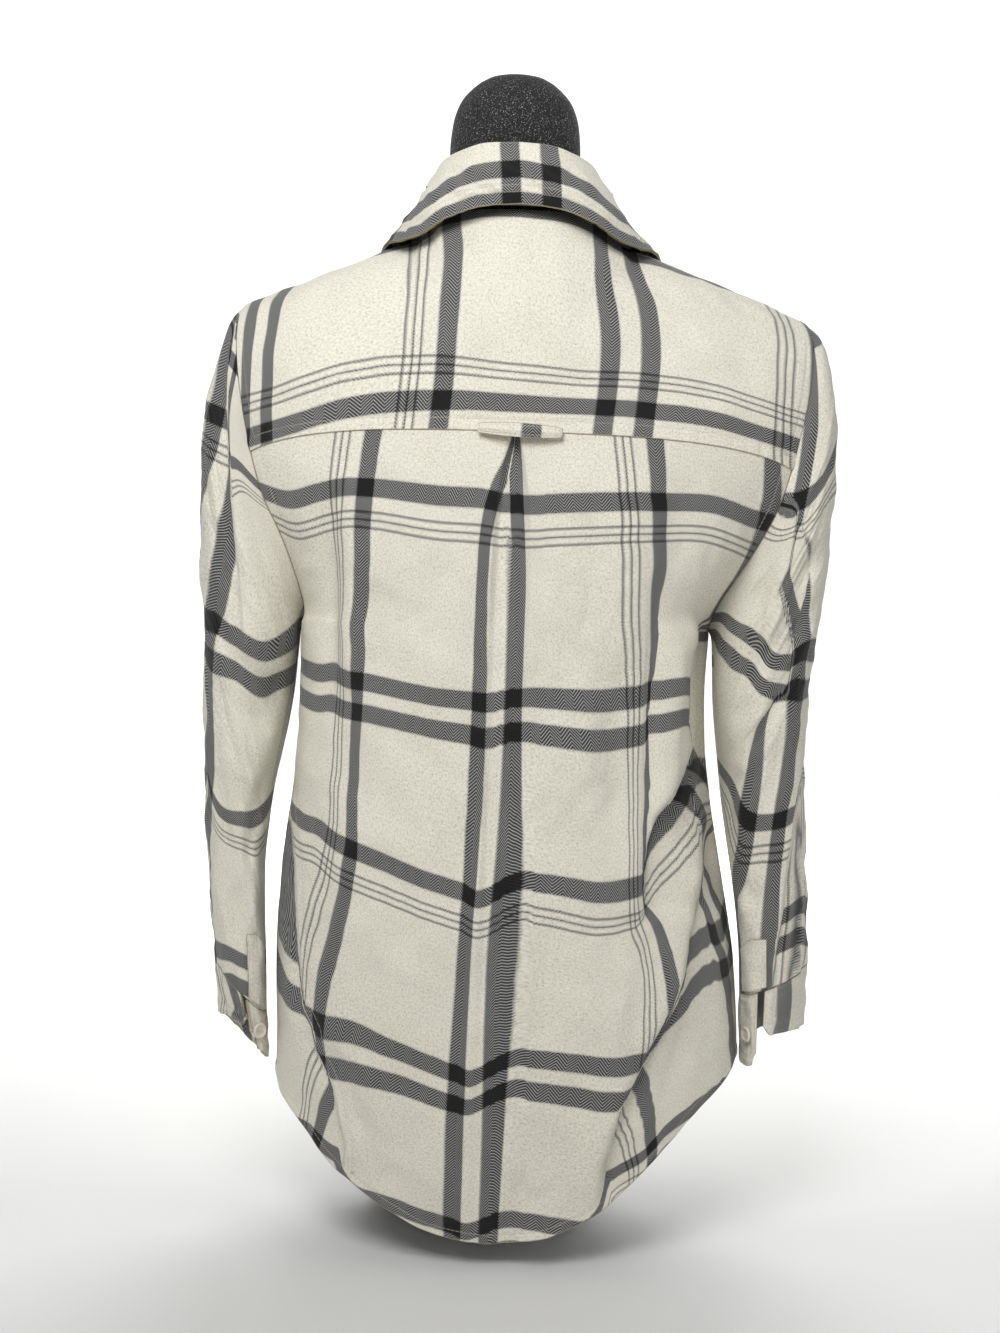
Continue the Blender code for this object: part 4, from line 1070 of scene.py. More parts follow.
@dataclass
class BackPanel:
    """The back below the yoke, with an inverted box pleat that opens downward."""

    rows: int = 200
    pleat_reach: float = 24.0
    pleat_columns: int = 56
    side_columns: int = 76
    thick: float = 1.3
    flat: tuple[float, float] = (0.46, 0.57)
    cut_at: tuple[float, float] = (153.6, 64.0)
    clear: float = 20.0
    folds: tuple[Fold, ...] = (
        Fold((126, 440), (121, 300), 5.5, 12, 1.6), Fold((110, 470), (107, 270), -4.5, 4.0),
        Fold((150, 470), (141, 380), -2.0, 6), Fold((78, 480), (84, 300), -2.2, 13),
        Fold((128, 560), (126, 480), -2.4, 10), Fold((60, 440), (66, 300), 2.4, 16),
        Fold((120, 240), (146, 150), 3.0, 13), Fold((150, 190), (128, 110), -3.5, 9),
        Fold((101, 230), (86, 130), 2.5, 10), Fold((-107, 560), (-101, 400), 4.5, 13, 1.8),
        Fold((-124, 530), (-117, 380), -5.5, 8), Fold((-95, 330), (-107, 180), 3.5, 14),
        Fold((-91, 300), (-35, 262), 3.0, 12), Fold((-113, 150), (-75, 74), -4.0, 10),
        Fold((-60, 220), (-84, 90), 2.5, 15), Fold((-55, 120), (-79, 60), 3.0, 14),
        Fold((-25, 430), (-35, 330), 2.4, 16), Fold((39, 420), (51, 300), 2.4, 16),
        Fold((-25, 120), (-19, 30), 2.8, 15), Fold((45, 110), (31, 30), -3.0, 13),
        Fold((-150, 240), (-132, 130), 3.5, 9), Fold((44, 250), (40, 150), -2.0, 14),
    )
    ripple: Ripple = Ripple(seed=3, height=0.8, length=42.0, stretch=1.6)
    fine: Ripple = Ripple(seed=4, height=0.22, length=13.0, stretch=1.2, waves=22)
    first: Drape = drape(BACK_MIDDLE, BACK_LEFT, ({
        132.3: ((1, 560), (-5, 547), (-9, 537)), 146.3: ((3, 542), (-1, 534)), 139.3: ((-7, 529),),
    }, {}))
    tucks: tuple[Tuck, ...] = (
        Tuck(
            ((7, 577), (6.5, 568), (3, 546), (4, 534), (6, 505)),
            drape(BACK_MIDDLE, BACK_RIGHT, BACK_TOP_RIGHT, BACK_LOW_RIGHT, ({
                161.0: ((3, 546), (4, 534)), 175.0: ((11, 568), (12.4, 552), (13.6, 534)),
            }, {})), soft=0.6,
        ),
        Tuck(
            ((110, 465), (111, 433), (108, 404), (106, 381), (107, 359), (109, 333), (108, 307), (107, 282),
             (107, 263), (108, 252)),
            drape(BACK_TOP_RIGHT, BACK_LOW_RIGHT, ({
                302.0: ((113, 404), (111, 333)), 287.8: ((104, 576), (107, 537), (112, 490)),
            }, {
                -111.0: ((111, 400), (121, 403), (139, 401)), -134.0: ((109, 377), (123, 380), (139, 381)),
            })),
        ),
        Tuck(
            ((146, 440), (146, 435), (141, 428), (139, 410), (139, 379), (143, 359), (133, 336), (126, 326),
             (115, 314), (110, 294), (108, 277), (107, 263), (108, 252)),
            drape(BACK_LOW_RIGHT, ({
                403.3: ((129, 334), (138, 327), (146, 319), (152, 312), (155, 306)),
                432.0: ((141, 354), (146, 346), (152, 339), (160, 331)),
            }, {
                -233.0: (
                    (109, 287), (115, 300), (122, 310), (130, 320), (138, 327), (144, 337), (151, 340),
                ),
                -256.0: ((110, 257), (116, 267), (126, 277), (137, 288), (146, 300), (151, 305)),
            })), drop=8.0, roll=3.0, reach=60.0, fade=14.0,
        ),
        Tuck(
            ((155, 279), (155, 271), (150, 251), (141, 227), (138, 205), (130, 182), (121, 164), (114, 151),
             (107, 134), (96, 113), (93, 100), (90, 89), (85, 70)),
            drape(({
                403.3: (
                    (152, 254), (158, 239), (162, 226), (170, 208), (173, 195), (176, 178), (181, 157),
                    (181, 139),
                ),
                432.0: ((156, 268), (162, 253), (170, 239), (179, 217), (182, 203)),
                287.8: ((109, 131), (114, 110), (117, 95), (119, 81)),
                264.0: ((95, 100), (102, 89), (105, 78)),
            }, {
                -367.0: ((143, 217), (148, 222), (160, 226), (173, 231)),
                -390.0: ((124, 166), (131, 173), (141, 187), (152, 196), (166, 198), (177, 200)),
                -489.0: ((127, 94), (135, 98), (148, 108)),
            })), drop=8.0, roll=3.5, reach=50.0, fade=30.0,
        ),
        Tuck(
            ((-149, 442), (-147, 335), (-148, 302), (-144, 285), (-139, 261), (-137, 237), (-134, 211),
             (-131, 187), (-128, 169), (-121, 156), (-118, 140), (-110, 126), (-104, 113), (-100, 96),
             (-95, 80)),
            drape(({
                0.0: ((-116, 135), (-124, 114), (-125, 104), (-125, 85)),
                23.8: ((-104, 111), (-109, 99), (-113, 85), (-115, 80)),
            }, {
                -367.0: ((-144, 273), (-154, 259), (-155, 248), (-155, 229), (-144, 223), (-137, 212)),
                -390.0: ((-156, 197), (-154, 184), (-141, 177), (-131, 169)),
                -489.0: ((-127, 83), (-119, 78), (-113, 75)),
            })), beyond=-1, drop=2.2, roll=0.9, reach=70.0,
        ),
    )

    def columns(self) -> Array:
        """Places across: shares of the pleat's reach within 1, and of the way to a side beyond it."""
        middle = np.linspace(-1, 1, self.pleat_columns + 1)
        side = np.linspace(0, 1, self.side_columns + 1)[1:]
        return np.concatenate([-1 - side[::-1], middle, 1 + side])

    def angle(self, z: Array, column: Array) -> Array:
        """The body angle of a column at height z."""
        hand = np.where(column < 0, -1.0, 1.0)
        size = np.abs(column)
        offset = hand * np.minimum(size, 1.0) * self.pleat_reach
        near = TORSO.angle_at(TORSO.pleat_x - SWAY("x", z) + offset, z, Side.BACK)
        edge = hand * TORSO.section(z, Side.BACK)[2]
        return near + (edge - near) * np.maximum(size - 1.0, 0.0)

    def heights(self, column: Array) -> tuple[Array, Array]:
        """The lowest and highest point of each column."""
        angle = self.angle(np.full(column.shape, TORSO.hem_level), column)
        level = TORSO.point(TORSO.hem_level, angle, Side.BACK)
        low = TORSO.hem_at(level[..., 0])
        high = np.full(column.shape, TORSO.yoke_seam)
        for _ in range(4):
            share = self.angle(high, column) / TORSO.section(high, Side.BACK)[2]
            high = TORSO.seam_height(share)
        return low, high

    def place(self, column: Array, share: Array) -> Array:
        """Points of the panel.

        Args:
            column: places across, as columns() gives them.
            share: the share of the way from the hem to the yoke seam.

        Returns:
            The points, in mm.
        """
        column, share = np.broadcast_arrays(column, share)
        low, high = self.heights(column)
        z = low + (high - low) * share
        angle = self.angle(z, column)
        x = TORSO.point(z, angle, Side.BACK)[..., 0]
        edge = TORSO.section(z, Side.BACK)[2]
        lift = folded(self.folds, x, z) + self.ripple(x, z) + self.fine(x, z)
        lift = lift + sum(tuck.height(x, z) for tuck in self.tucks)
        lift = lift * fall_off(0.88, 0.995, np.abs(angle) / edge)
        lift = lift * fall_off(TORSO.yoke_seam - 45, TORSO.yoke_seam - 12, z)
        points = TORSO.point(z, angle, Side.BACK, lift)
        offset = np.abs(np.clip(column, -1, 1)) * self.pleat_reach
        floor = PLEAT("floor", z)
        sink = PLEAT("depth", z) * fall_off(0.0, 1.0, (offset - floor) / (PLEAT("half", z) - floor))
        points[..., 1] += sink
        return points

    def edge(self, hand: Hand, count: int) -> Array:
        """The armhole edge from the underarm up to the yoke seam."""
        column = np.full(count, 2.0 * hand.value)
        low, high = self.heights(column)
        z = np.linspace(TORSO.underarm, float(high[0]), count)
        return self.place(column, (z - low) / (high - low))

    def build(self) -> bpy.types.Object:
        """Makes the panel; its left side is stitched along the last tuck, below the arm."""
        grid = self.place(self.columns()[None, :], up_column(self.rows))
        centre = len(self.columns()) // 2
        across, up = arc(grid, 1, (0, 1)), arc(grid, 0, (1, 2))
        plain_u = across - across[:, centre:centre + 1] + self.cut_at[0]
        cut = tucked(self.tucks, self.first, grid, plain_u, up - up[-1:] + self.cut_at[1])
        inset = -self.tucks[-1].past(grid[..., 0], grid[..., 2])[0]
        by_hole = grid[..., 2] > TORSO.underarm
        left = np.where(by_hole, across, np.where(inset > 0, inset, self.clear))
        side = np.minimum(left, across[:, -1:] - across) * np.where(by_hole, HEM_ROW / HOLE_ROW, 1.0)
        return Shell("shirt_back", hemmed(grid, up), cut, edge_seam(up, side, across), self.thick).build()


# ---------------------------------------------------------------- the neck and the yoke
@dataclass(frozen=True)
class NeckLine:
    """The lines that the yoke, the fronts and the collar share round the neck.

    turn is signed: 0 at the centre back, 1 or -1 at the front end of the collar. From front_turn on, the
    collar is sewn to the fronts. roll is the fold's radius, stand_short how far below the fold the
    stand ends, and near the half of the span on which the fold's direction is taken.
    """

    front_turn: float = 0.66
    stand_end: float = 655.0
    roll: float = 3.3
    stand_short: float = 7.4
    near: float = 0.02

    def low(self, turn: Array) -> Array:
        """The line where the collar is sewn on."""
        t, hand = np.abs(turn), np.where(np.asarray(turn) < 0, -1.0, 1.0)
        z = COLLAR("z", t)
        behind = np.stack([hand * COLLAR("x", t) + SWAY("x", z), COLLAR("y", t), z], -1)
        z = (self.stand_end - TORSO.front_top) * (t - self.front_turn) / (1 - self.front_turn)
        z = np.minimum(TORSO.front_top + z, TORSO.front_top)
        ahead = TORSO.point(z, hand * TORSO.angle_at(OPENING("x", z), z, Side.FRONT), Side.FRONT)
        return np.where((t > self.front_turn)[..., None], ahead, behind)

    def line(self, turn: Array, part: str) -> Array:
        """The collar's fold or edge line."""
        t, hand = np.abs(turn), np.where(np.asarray(turn) < 0, -1.0, 1.0)
        x, y, z = (COLLAR(f"{part}_{axis}", t) for axis in "xyz")
        return np.stack([hand * x + SWAY("x", z), y, z], -1)

    def axes(self, turn: Array) -> tuple[Array, Array, Array, Array, Array]:
        """The neck, fold and edge points, and two directions square to the fold: up, and outward."""
        low, fold, edge = self.low(turn), self.line(turn, "fold"), self.line(turn, "edge")
        after = self.line(np.minimum(turn + self.near, 1.0), "fold")
        run = unit(after - self.line(np.maximum(turn - self.near, -1.0), "fold"))
        up = fold - low
        up = unit(up - run * (up * run).sum(-1, keepdims=True))
        return low, fold, edge, up, -np.cross(up, run)


NECK = NeckLine()


@dataclass
class Yoke:
    """The back yoke, over the shoulders to the front seams, lapped over the back panel.

    leave and arrive say how far its curve keeps the direction of its lower and upper edge: in the
    middle, and how much further at the sides. over_neck and over_shoulder are the upper directions.
    """

    rows: int = 96
    half_columns: int = 110
    neck_share: float = 0.36
    thick: float = 1.5
    lap: float = 0.9
    flat: tuple[float, float] = (0.50, 0.20)
    cut_at: tuple[float, float] = (82.0, 45.0)
    stitch_row: float = 8.0
    leave: tuple[float, float] = (58.0, 42.0)
    arrive: tuple[float, float] = (52.0, 6.0)
    over_neck: tuple[float, float, float] = (0.0, 0.62, 0.78)
    over_shoulder: tuple[float, float, float] = (0.0, 0.91, -0.24)
    ripple: Ripple = Ripple(seed=8, height=0.45, length=40.0)
    drape: Drape = Drape(
        warp={
            -124.7: ((-185, 673), (-186, 648), (-188, 634), (-185, 620)),
            -96.0: ((-168, 679), (-171, 649), (-171, 620), (-172, 595), (-168, 575)),
            0.0: ((-66, 702), (-66, 646), (-68, 598)), 23.8: ((-42, 724), (-44, 647), (-45, 598)),
            139.3: ((64, 703), (71, 652), (68, 595)), 168.0: ((86, 709), (101, 653), (97, 594)),
            264.0: ((200, 663), (197, 609), (197, 583)),
        },
        weft={
            23.0: (
                (-183, 570), (-168, 573), (-143, 580), (-125, 588), (-88, 593), (-39, 596), (8, 598),
                (65, 597), (121, 592), (143, 593), (165, 588), (184, 582), (205, 578),
            ),
            0.0: (
                (-173, 597), (-146, 605), (-117, 614), (-89, 622), (-40, 622), (7, 618), (65, 615),
                (121, 615), (164, 606), (202, 598),
            ),
            -111.0: ((-61, 728), (-46, 732), (-38, 737), (11, 738), (51, 732), (72, 724), (100, 712)),
        },
        across=12, up=8, stiff=0.010,
    )

    def top(self, share: Array) -> Array:
        """The yoke's upper edge: the neckline in the middle, the front seams at the sides."""
        s, hand = np.abs(share), np.where(share < 0, -1.0, 1.0)
        turn = hand * np.minimum(s / self.neck_share, 1.0) * NECK.front_turn
        neck = NECK.low(turn) - np.array([0, 0, 0.5])
        out = (s - self.neck_share) / (1 - self.neck_share)
        z = TORSO.front_top - (TORSO.front_top - TORSO.armhole_top) * np.maximum(out, 0.0)
        hole = ARMHOLE[Side.FRONT]
        seam = np.stack([hand * hole("x", z) + SWAY("x", z), hole("y", z) - 1.2, z + 0.9], -1)
        return np.where((s <= self.neck_share)[..., None], neck, seam)

    def place(self, share: Array, height: Array) -> Array:
        """Points of the yoke: a smooth curve from the yoke seam over the shoulder to its upper edge."""
        share, height = np.broadcast_arrays(share, height)
        z = TORSO.seam_height(share)
        start = TORSO.point(z, share * TORSO.section(z, Side.BACK)[2], Side.BACK)
        below = TORSO.point(z - 8, share * TORSO.section(z - 8, Side.BACK)[2], Side.BACK)
        rise = unit(start - below)
        end = self.top(share)
        wing = smooth(0.0, 0.56, np.abs(share))[..., None]
        arrive = unit(np.array(self.over_neck) * (1 - wing) + np.array(self.over_shoulder) * wing)
        leave = self.leave[0] + self.leave[1] * smooth(0.02, 0.3, np.abs(share))
        first = start + rise * leave[..., None]
        second = end - arrive * (self.arrive[0] + self.arrive[1] * wing)
        h = height[..., None]
        return (
            start * (1 - h) ** 3 + 3 * first * h * (1 - h) ** 2
            + 3 * second * h * h * (1 - h) + end * h**3
        )

    def build(self) -> bpy.types.Object:
        """Makes the yoke."""
        grid = self.place(across_row(2 * self.half_columns, -1.0), up_column(self.rows))
        across, up = arc(grid, 1), arc(grid, 0)
        plain_u = grid[..., 0] - grid[:, self.half_columns:self.half_columns + 1, 0] + self.cut_at[0]
        cut = self.drape.lay(grid, plain_u, self.cut_at[1] - arc(grid, 0, (1, 2)))
        side = from_edges(across, 1)
        inside = smooth(2.0, 18.0, nearest_edge(side, from_edges(up, 0)))
        lift = self.lap * fall_off(0.0, 14.0, up) + self.ripple(across, up) * inside
        pucker = Ripple(seed=21, height=0.5, length=11.0)(across, up * 0.2)
        lift = lift + pucker * np.exp(-(((up - 7.0) / 5.0) ** 2))
        away = nearest_edge(up, side * (self.stitch_row / HEM_ROW) + 1.0)
        seam = np.stack([away, np.where(up < side, across, up)], -1)
        return Shell("shirt_yoke", grid + outward(grid) * lift[..., None], cut, seam, self.thick).build()


# ---------------------------------------------------------------- fronts
@dataclass
class Front:
    """One front, from the button band round to the side seam and up to a point beside the neck."""

    hand: Hand
    rows: int = 176
    columns: int = 112
    thick: float = 1.3
    underlap: float = 2.6
    flat: tuple[float, float] = (0.26, 0.70)
    cut_at: tuple[float, float] = (12.0, 505.0)
    folds: tuple[Fold, ...] = (
        Fold((70, 470), (62, 300), 3.0, 15), Fold((104, 440), (96, 260), -3.2, 12),
        Fold((130, 430), (128, 300), 3.0, 12), Fold((46, 320), (52, 130), -2.8, 14),
        Fold((90, 250), (96, 110), 3.2, 16), Fold((128, 240), (130, 120), -3.0, 11),
        Fold((36, 240), (30, 90), 2.0, 12), Fold((150, 560), (112, 500), -3.0, 10),
        Fold((140, 640), (100, 560), 2.0, 14),
    )

    def inner(self, z: Array) -> Array:
        """How far the inner edge lies from the cloth's middle, on its own side of it."""
        askew = self.hand.value * (TORSO.front_x - SWAY("x", z)) * fall_off(585, 650, z)
        return OPENING("x", z) + askew

    def place(self, share: Array, height: Array) -> Array:
        """Points of the front.

        Args:
            share: 0 at the button band and 1 at the side seam.
            height: 0 at the hem and 1 beside the neck.

        Returns:
            The points, in mm.
        """
        share, height = np.broadcast_arrays(share, height)
        hand = self.hand.value
        across = np.sin(share * math.pi / 2) ** (2 / TORSO.square)
        low = TORSO.hem_front + (TORSO.side_hem(self.hand) - TORSO.hem_front) * across**TORSO.front_power
        z = low + (TORSO.front_top - low) * height
        edge = TORSO.section(z, Side.FRONT)[2]
        inner = TORSO.angle_at(self.inner(z), z, Side.FRONT)
        angle = inner + (edge - inner) * share
        flat = TORSO.point(z, angle * hand, Side.FRONT)[..., 0] * hand - hand * TORSO.front_x
        ripple = Ripple(seed=30 + hand, height=0.6, length=48.0, stretch=1.7)
        fold = folded(self.folds, flat, z) + ripple(flat, z)
        fold = fold * fall_off(0.86, 0.98, share) * smooth(0.14, 0.3, share)
        if self.hand is Hand.LEFT:
            fold = fold - self.underlap * fall_off(14, 26, flat) * fall_off(600, 640, z)
        return TORSO.point(z, angle * hand, Side.FRONT, fold)

    def armhole(self, count: int) -> Array:
        """The armhole edge from the underarm up."""
        low = TORSO.side_hem(self.hand)
        z = np.linspace(TORSO.underarm, TORSO.armhole_top, count)
        return self.place(np.ones(count), (z - low) / (TORSO.front_top - low))

    def surface(self) -> Array:
        """The front's outer grid, columns running to the right as seen from outside."""
        return faced(self.place(across_row(self.columns), up_column(self.rows)), self.hand)

    def build(self) -> bpy.types.Object:
        """Makes the front; its plaid runs straight down from the band."""
        grid = self.surface()
        across, up = arc(grid, 1, (0, 1)), arc(grid, 0, (1, 2))
        from_right = across[:, -1:] - across
        if self.hand is Hand.RIGHT:
            from_side, from_band = across, from_right
        else:
            from_side, from_band = from_right, across
        cut = np.stack([self.cut_at[0] - self.hand.value * from_band, grid[..., 2] - self.cut_at[1]], -1)
        side = from_side * np.where(grid[..., 2] > TORSO.underarm, HEM_ROW / HOLE_ROW, 1.0)
        seam = edge_seam(up, side, across)
        return Shell(f"shirt_front_{self.hand.word}", hemmed(grid, up), cut, seam, self.thick).build()


# ---------------------------------------------------------------- sleeves
@dataclass
class Sleeve:
    """A set-in sleeve that hangs empty, open at the armhole and at the cuff."""

    hand: Hand
    back_edge: Array
    yoke_edge: Array
    front_edge: Array
    cloth: "SleeveCloth"
    rows: int = 190
    columns: int = 180
    thick: float = 1.3
    skew: float = 0.16
    flat: tuple[float, float] = (0.30, 0.47)
    girth: float = 52.0
    section: tuple[float, float] = (38.0, 55.0)
    cut_at: tuple[float, float] = (150.0, 560.0)
    loop: Array = field(init=False)

    def __post_init__(self) -> None:
        """Lays out the armhole at even turns: 0 at the shoulder tip, 0.25 behind, 0.5 under the arm."""
        over = self.yoke_edge[::-1]
        tip = int(np.argmax(over[:, 2]))
        rough = np.concatenate([over[tip:], self.back_edge[::-1], self.front_edge[1:], over[:tip]])
        keep = np.concatenate([[True], np.linalg.norm(np.diff(rough, axis=0), axis=1) > 0.05])
        rough = rough[keep]
        low = int(np.argmin(rough[:, 2]))
        gap = np.linalg.norm(np.roll(rough, -1, 0) - rough, axis=1)
        along = np.concatenate([[0], np.cumsum(gap)])
        turn = np.where(
            along <= along[low], 0.5 * along / along[low],
            0.5 + 0.5 * (along - along[low]) / (along[-1] - along[low]),
        )
        closed = np.concatenate([rough, rough[:1]])
        even = self.turns() % 1.0
        self.loop = np.stack([np.interp(even, turn, closed[:, axis]) for axis in range(3)], -1)

    def plain(self, grid: Array) -> tuple[Array, Array]:
        """Where each point would lie in the cut if the sleeve were an even upright tube."""
        chart = SLEEVE_TUBE[self.hand]
        t = np.linspace(1, 0, 60)
        hole = ARMHOLE[Side.BACK]
        high = np.linspace(443, 590, 20)
        z = grid[..., 2]
        inner = np.interp(
            z, np.concatenate([chart("z_in", t), high]),
            np.concatenate([chart("x_in", t), hole("x", high) + self.hand.value * SWAY("x", high)]),
        )
        outer = np.interp(z, chart("z_out", t), chart("x_out", t))
        x = grid[..., 0] - self.hand.value * (inner + outer) / 2
        around = np.arctan2(x / self.section[0], -grid[..., 1] / self.section[1])
        return self.girth * around + self.cut_at[0], z - self.cut_at[1]

    def turns(self) -> Array:
        """Turns of the columns, from the underarm seam once round to it."""
        return np.linspace(-0.5, 0.5, self.columns + 1)

    def tube(self, t: Array, turn: Array) -> Array:
        """Points on the plain tube: t down the sleeve and turn round it, without folds."""
        chart = SLEEVE_TUBE[self.hand]
        c, s = np.cos(2 * math.pi * turn), np.sin(2 * math.pi * turn)
        share = (1 + np.copysign(np.abs(c) ** 0.82, c)) / 2
        x = chart("x_in", t) + (chart("x_out", t) - chart("x_in", t)) * share
        z = chart("z_in", t) + (chart("z_out", t) - chart("z_in", t)) * share
        depth = np.abs(s) ** 0.82
        y = np.where(s >= 0, -chart("y_back", t) * depth, chart("y_front", t) * depth)
        return np.stack([x + self.skew * y * smooth(0.35, 0.9, t), y, z], -1)

    def place(self, t: Array, turn: Array) -> Array:
        """Points of the sleeve; near the armhole it keeps that edge's own shape.

        Args:
            t: 0 at the armhole and 1 at the cuff.
            turn: turns round it from the shoulder tip, towards the back.

        Returns:
            The points, in mm.
        """
        t, turn = np.broadcast_arrays(t, turn)
        side = np.array([self.hand.value, 1, 1])
        spot = np.interp(turn, self.turns(), np.arange(self.columns + 1))
        low = np.clip(spot.astype(int), 0, self.columns - 1)
        share = (spot - low)[..., None]
        edge = self.loop[low] * (1 - share) + self.loop[low + 1] * share
        rest = edge * side - self.tube(np.zeros(t.shape), turn)
        at = self.tube(t, turn) + rest * fall_off(0.0, 0.35, t)[..., None]
        middle = (self.tube(t, np.zeros(t.shape)) + self.tube(t, np.full(t.shape, 0.5))) / 2
        out = unit((at - middle) * np.array([1, 1, 0.4]))
        fold = folded(self.cloth.folds, t, turn % 1.0)
        behind = smooth(-10.0, 12.0, -at[..., 1])
        x = at[..., 0] * self.hand.value
        fold = fold + sum(tuck.height(x, at[..., 2]) for tuck in self.cloth.tucks) * behind
        ripple = Ripple(seed=50 + self.hand.value, height=0.8, length=40.0, stretch=1.3)
        fine = Ripple(seed=60 + self.hand.value, height=0.22, length=13.0, waves=22)
        angle = 2 * math.pi * turn
        swell = fold + ripple(50 * angle, 500 * t) + fine(50 * angle, 500 * t)
        swell = swell * smooth(0.03, 0.12, np.abs(np.abs(turn) - 0.5)) * smooth(0.0, 0.12, t)
        at = (at + out * swell[..., None]) * side
        inward = unit(self.loop.mean(0) - edge)
        first = edge + np.array([0.35 * self.hand.value, 0, 0]) + 0.25 * inward
        return np.where((t == 0.0)[..., None], first, at)

    def build(self) -> bpy.types.Object:
        """Makes the sleeve, with its seam under the arm."""
        grid = faced(self.place(up_column(self.rows, 1.0, 0.0) ** 1.15, self.turns()[None, :]), self.hand)
        back = int(np.argmin(np.abs(self.turns() - 0.25)))
        if self.hand is Hand.RIGHT:
            back = self.columns - back
        behind = np.abs(np.arange(self.columns + 1) - back) < self.columns * 0.26
        seen = np.broadcast_to(behind[None, :], grid.shape[:2])
        plain_u, plain_v = self.plain(grid)
        middle, half = plain_u[:, back:back + 1], math.pi * self.girth
        plain_u = middle + (plain_u - middle + half) % (2 * half) - half
        cut = tucked(self.cloth.tucks, self.cloth.first, grid, plain_u, plain_v, seen, self.hand.value)
        down = arc(grid[::-1], 0)[::-1]
        seam = np.stack([down + 4.0, arc(grid, 1)], -1)
        return Shell(f"shirt_sleeve_{self.hand.word}", grid, cut, seam, self.thick).build()


@dataclass(frozen=True)
class SleeveCloth:
    """How one sleeve's cloth hangs: its plaid, its creases and its softer folds."""

    first: Drape
    tucks: tuple[Tuck, ...]
    folds: tuple[Fold, ...]


# The plaid's threads on each sleeve, in mm: (x, z) by each thread's place in the cut.
LEFT_LOW = (
    {
        168.0: ((-209, 398), (-206, 315), (-207, 270)),
        264.0: ((-149, 425), (-151, 396)),
    },
    {
        -111.0: ((-206, 437), (-190, 430), (-173, 419), (-161, 419), (-153, 424)),
        -134.0: ((-210, 413), (-194, 406), (-178, 395), (-166, 392), (-155, 398)),
        -233.0: ((-206, 321), (-198, 301), (-184, 297), (-172, 296), (-164, 308)),
        -256.0: ((-203, 300), (-191, 283), (-177, 277), (-166, 279)),
        -367.0: ((-195, 197), (-176, 194)),
        -390.0: ((-185, 178), (-162, 173)),
    },
)
LEFT_STRIPE = ({139.3: ((-199, 668), (-200, 640), (-201, 622))}, {})
RIGHT_LOW = (
    {
        168.0: ((215, 380), (212, 345), (208, 318), (207, 304), (204, 279), (202, 249), (203, 223)),
        139.3: ((184, 326), (183, 304), (180, 273), (181, 244), (184, 214)),
    },
    {-256.0: ((171, 317), (176, 295), (184, 283), (197, 285), (204, 285), (216, 289))},
)
RIGHT_STRIPE = (
    {
        161.0: ((208, 448), (211, 436), (210, 420), (209, 406), (208, 391)),
        175.0: ((223, 452), (223, 433), (223, 421)),
    },
    {
        -111.0: ((207, 423), (216, 430), (235, 433)), -134.0: ((204, 401), (216, 403), (231, 405)),
        -233.0: ((184, 309), (194, 307), (207, 309)),
    },
)
FRONT_FOLDS = (
    Fold((0.20, 0.62), (0.52, 0.86), -4.0, 0.050), Fold((0.32, 0.60), (0.66, 0.78), 3.5, 0.050),
    Fold((0.50, 0.66), (0.84, 0.72), -3.0, 0.050), Fold((0.74, 0.80), (0.98, 0.82), 2.5, 0.055),
)
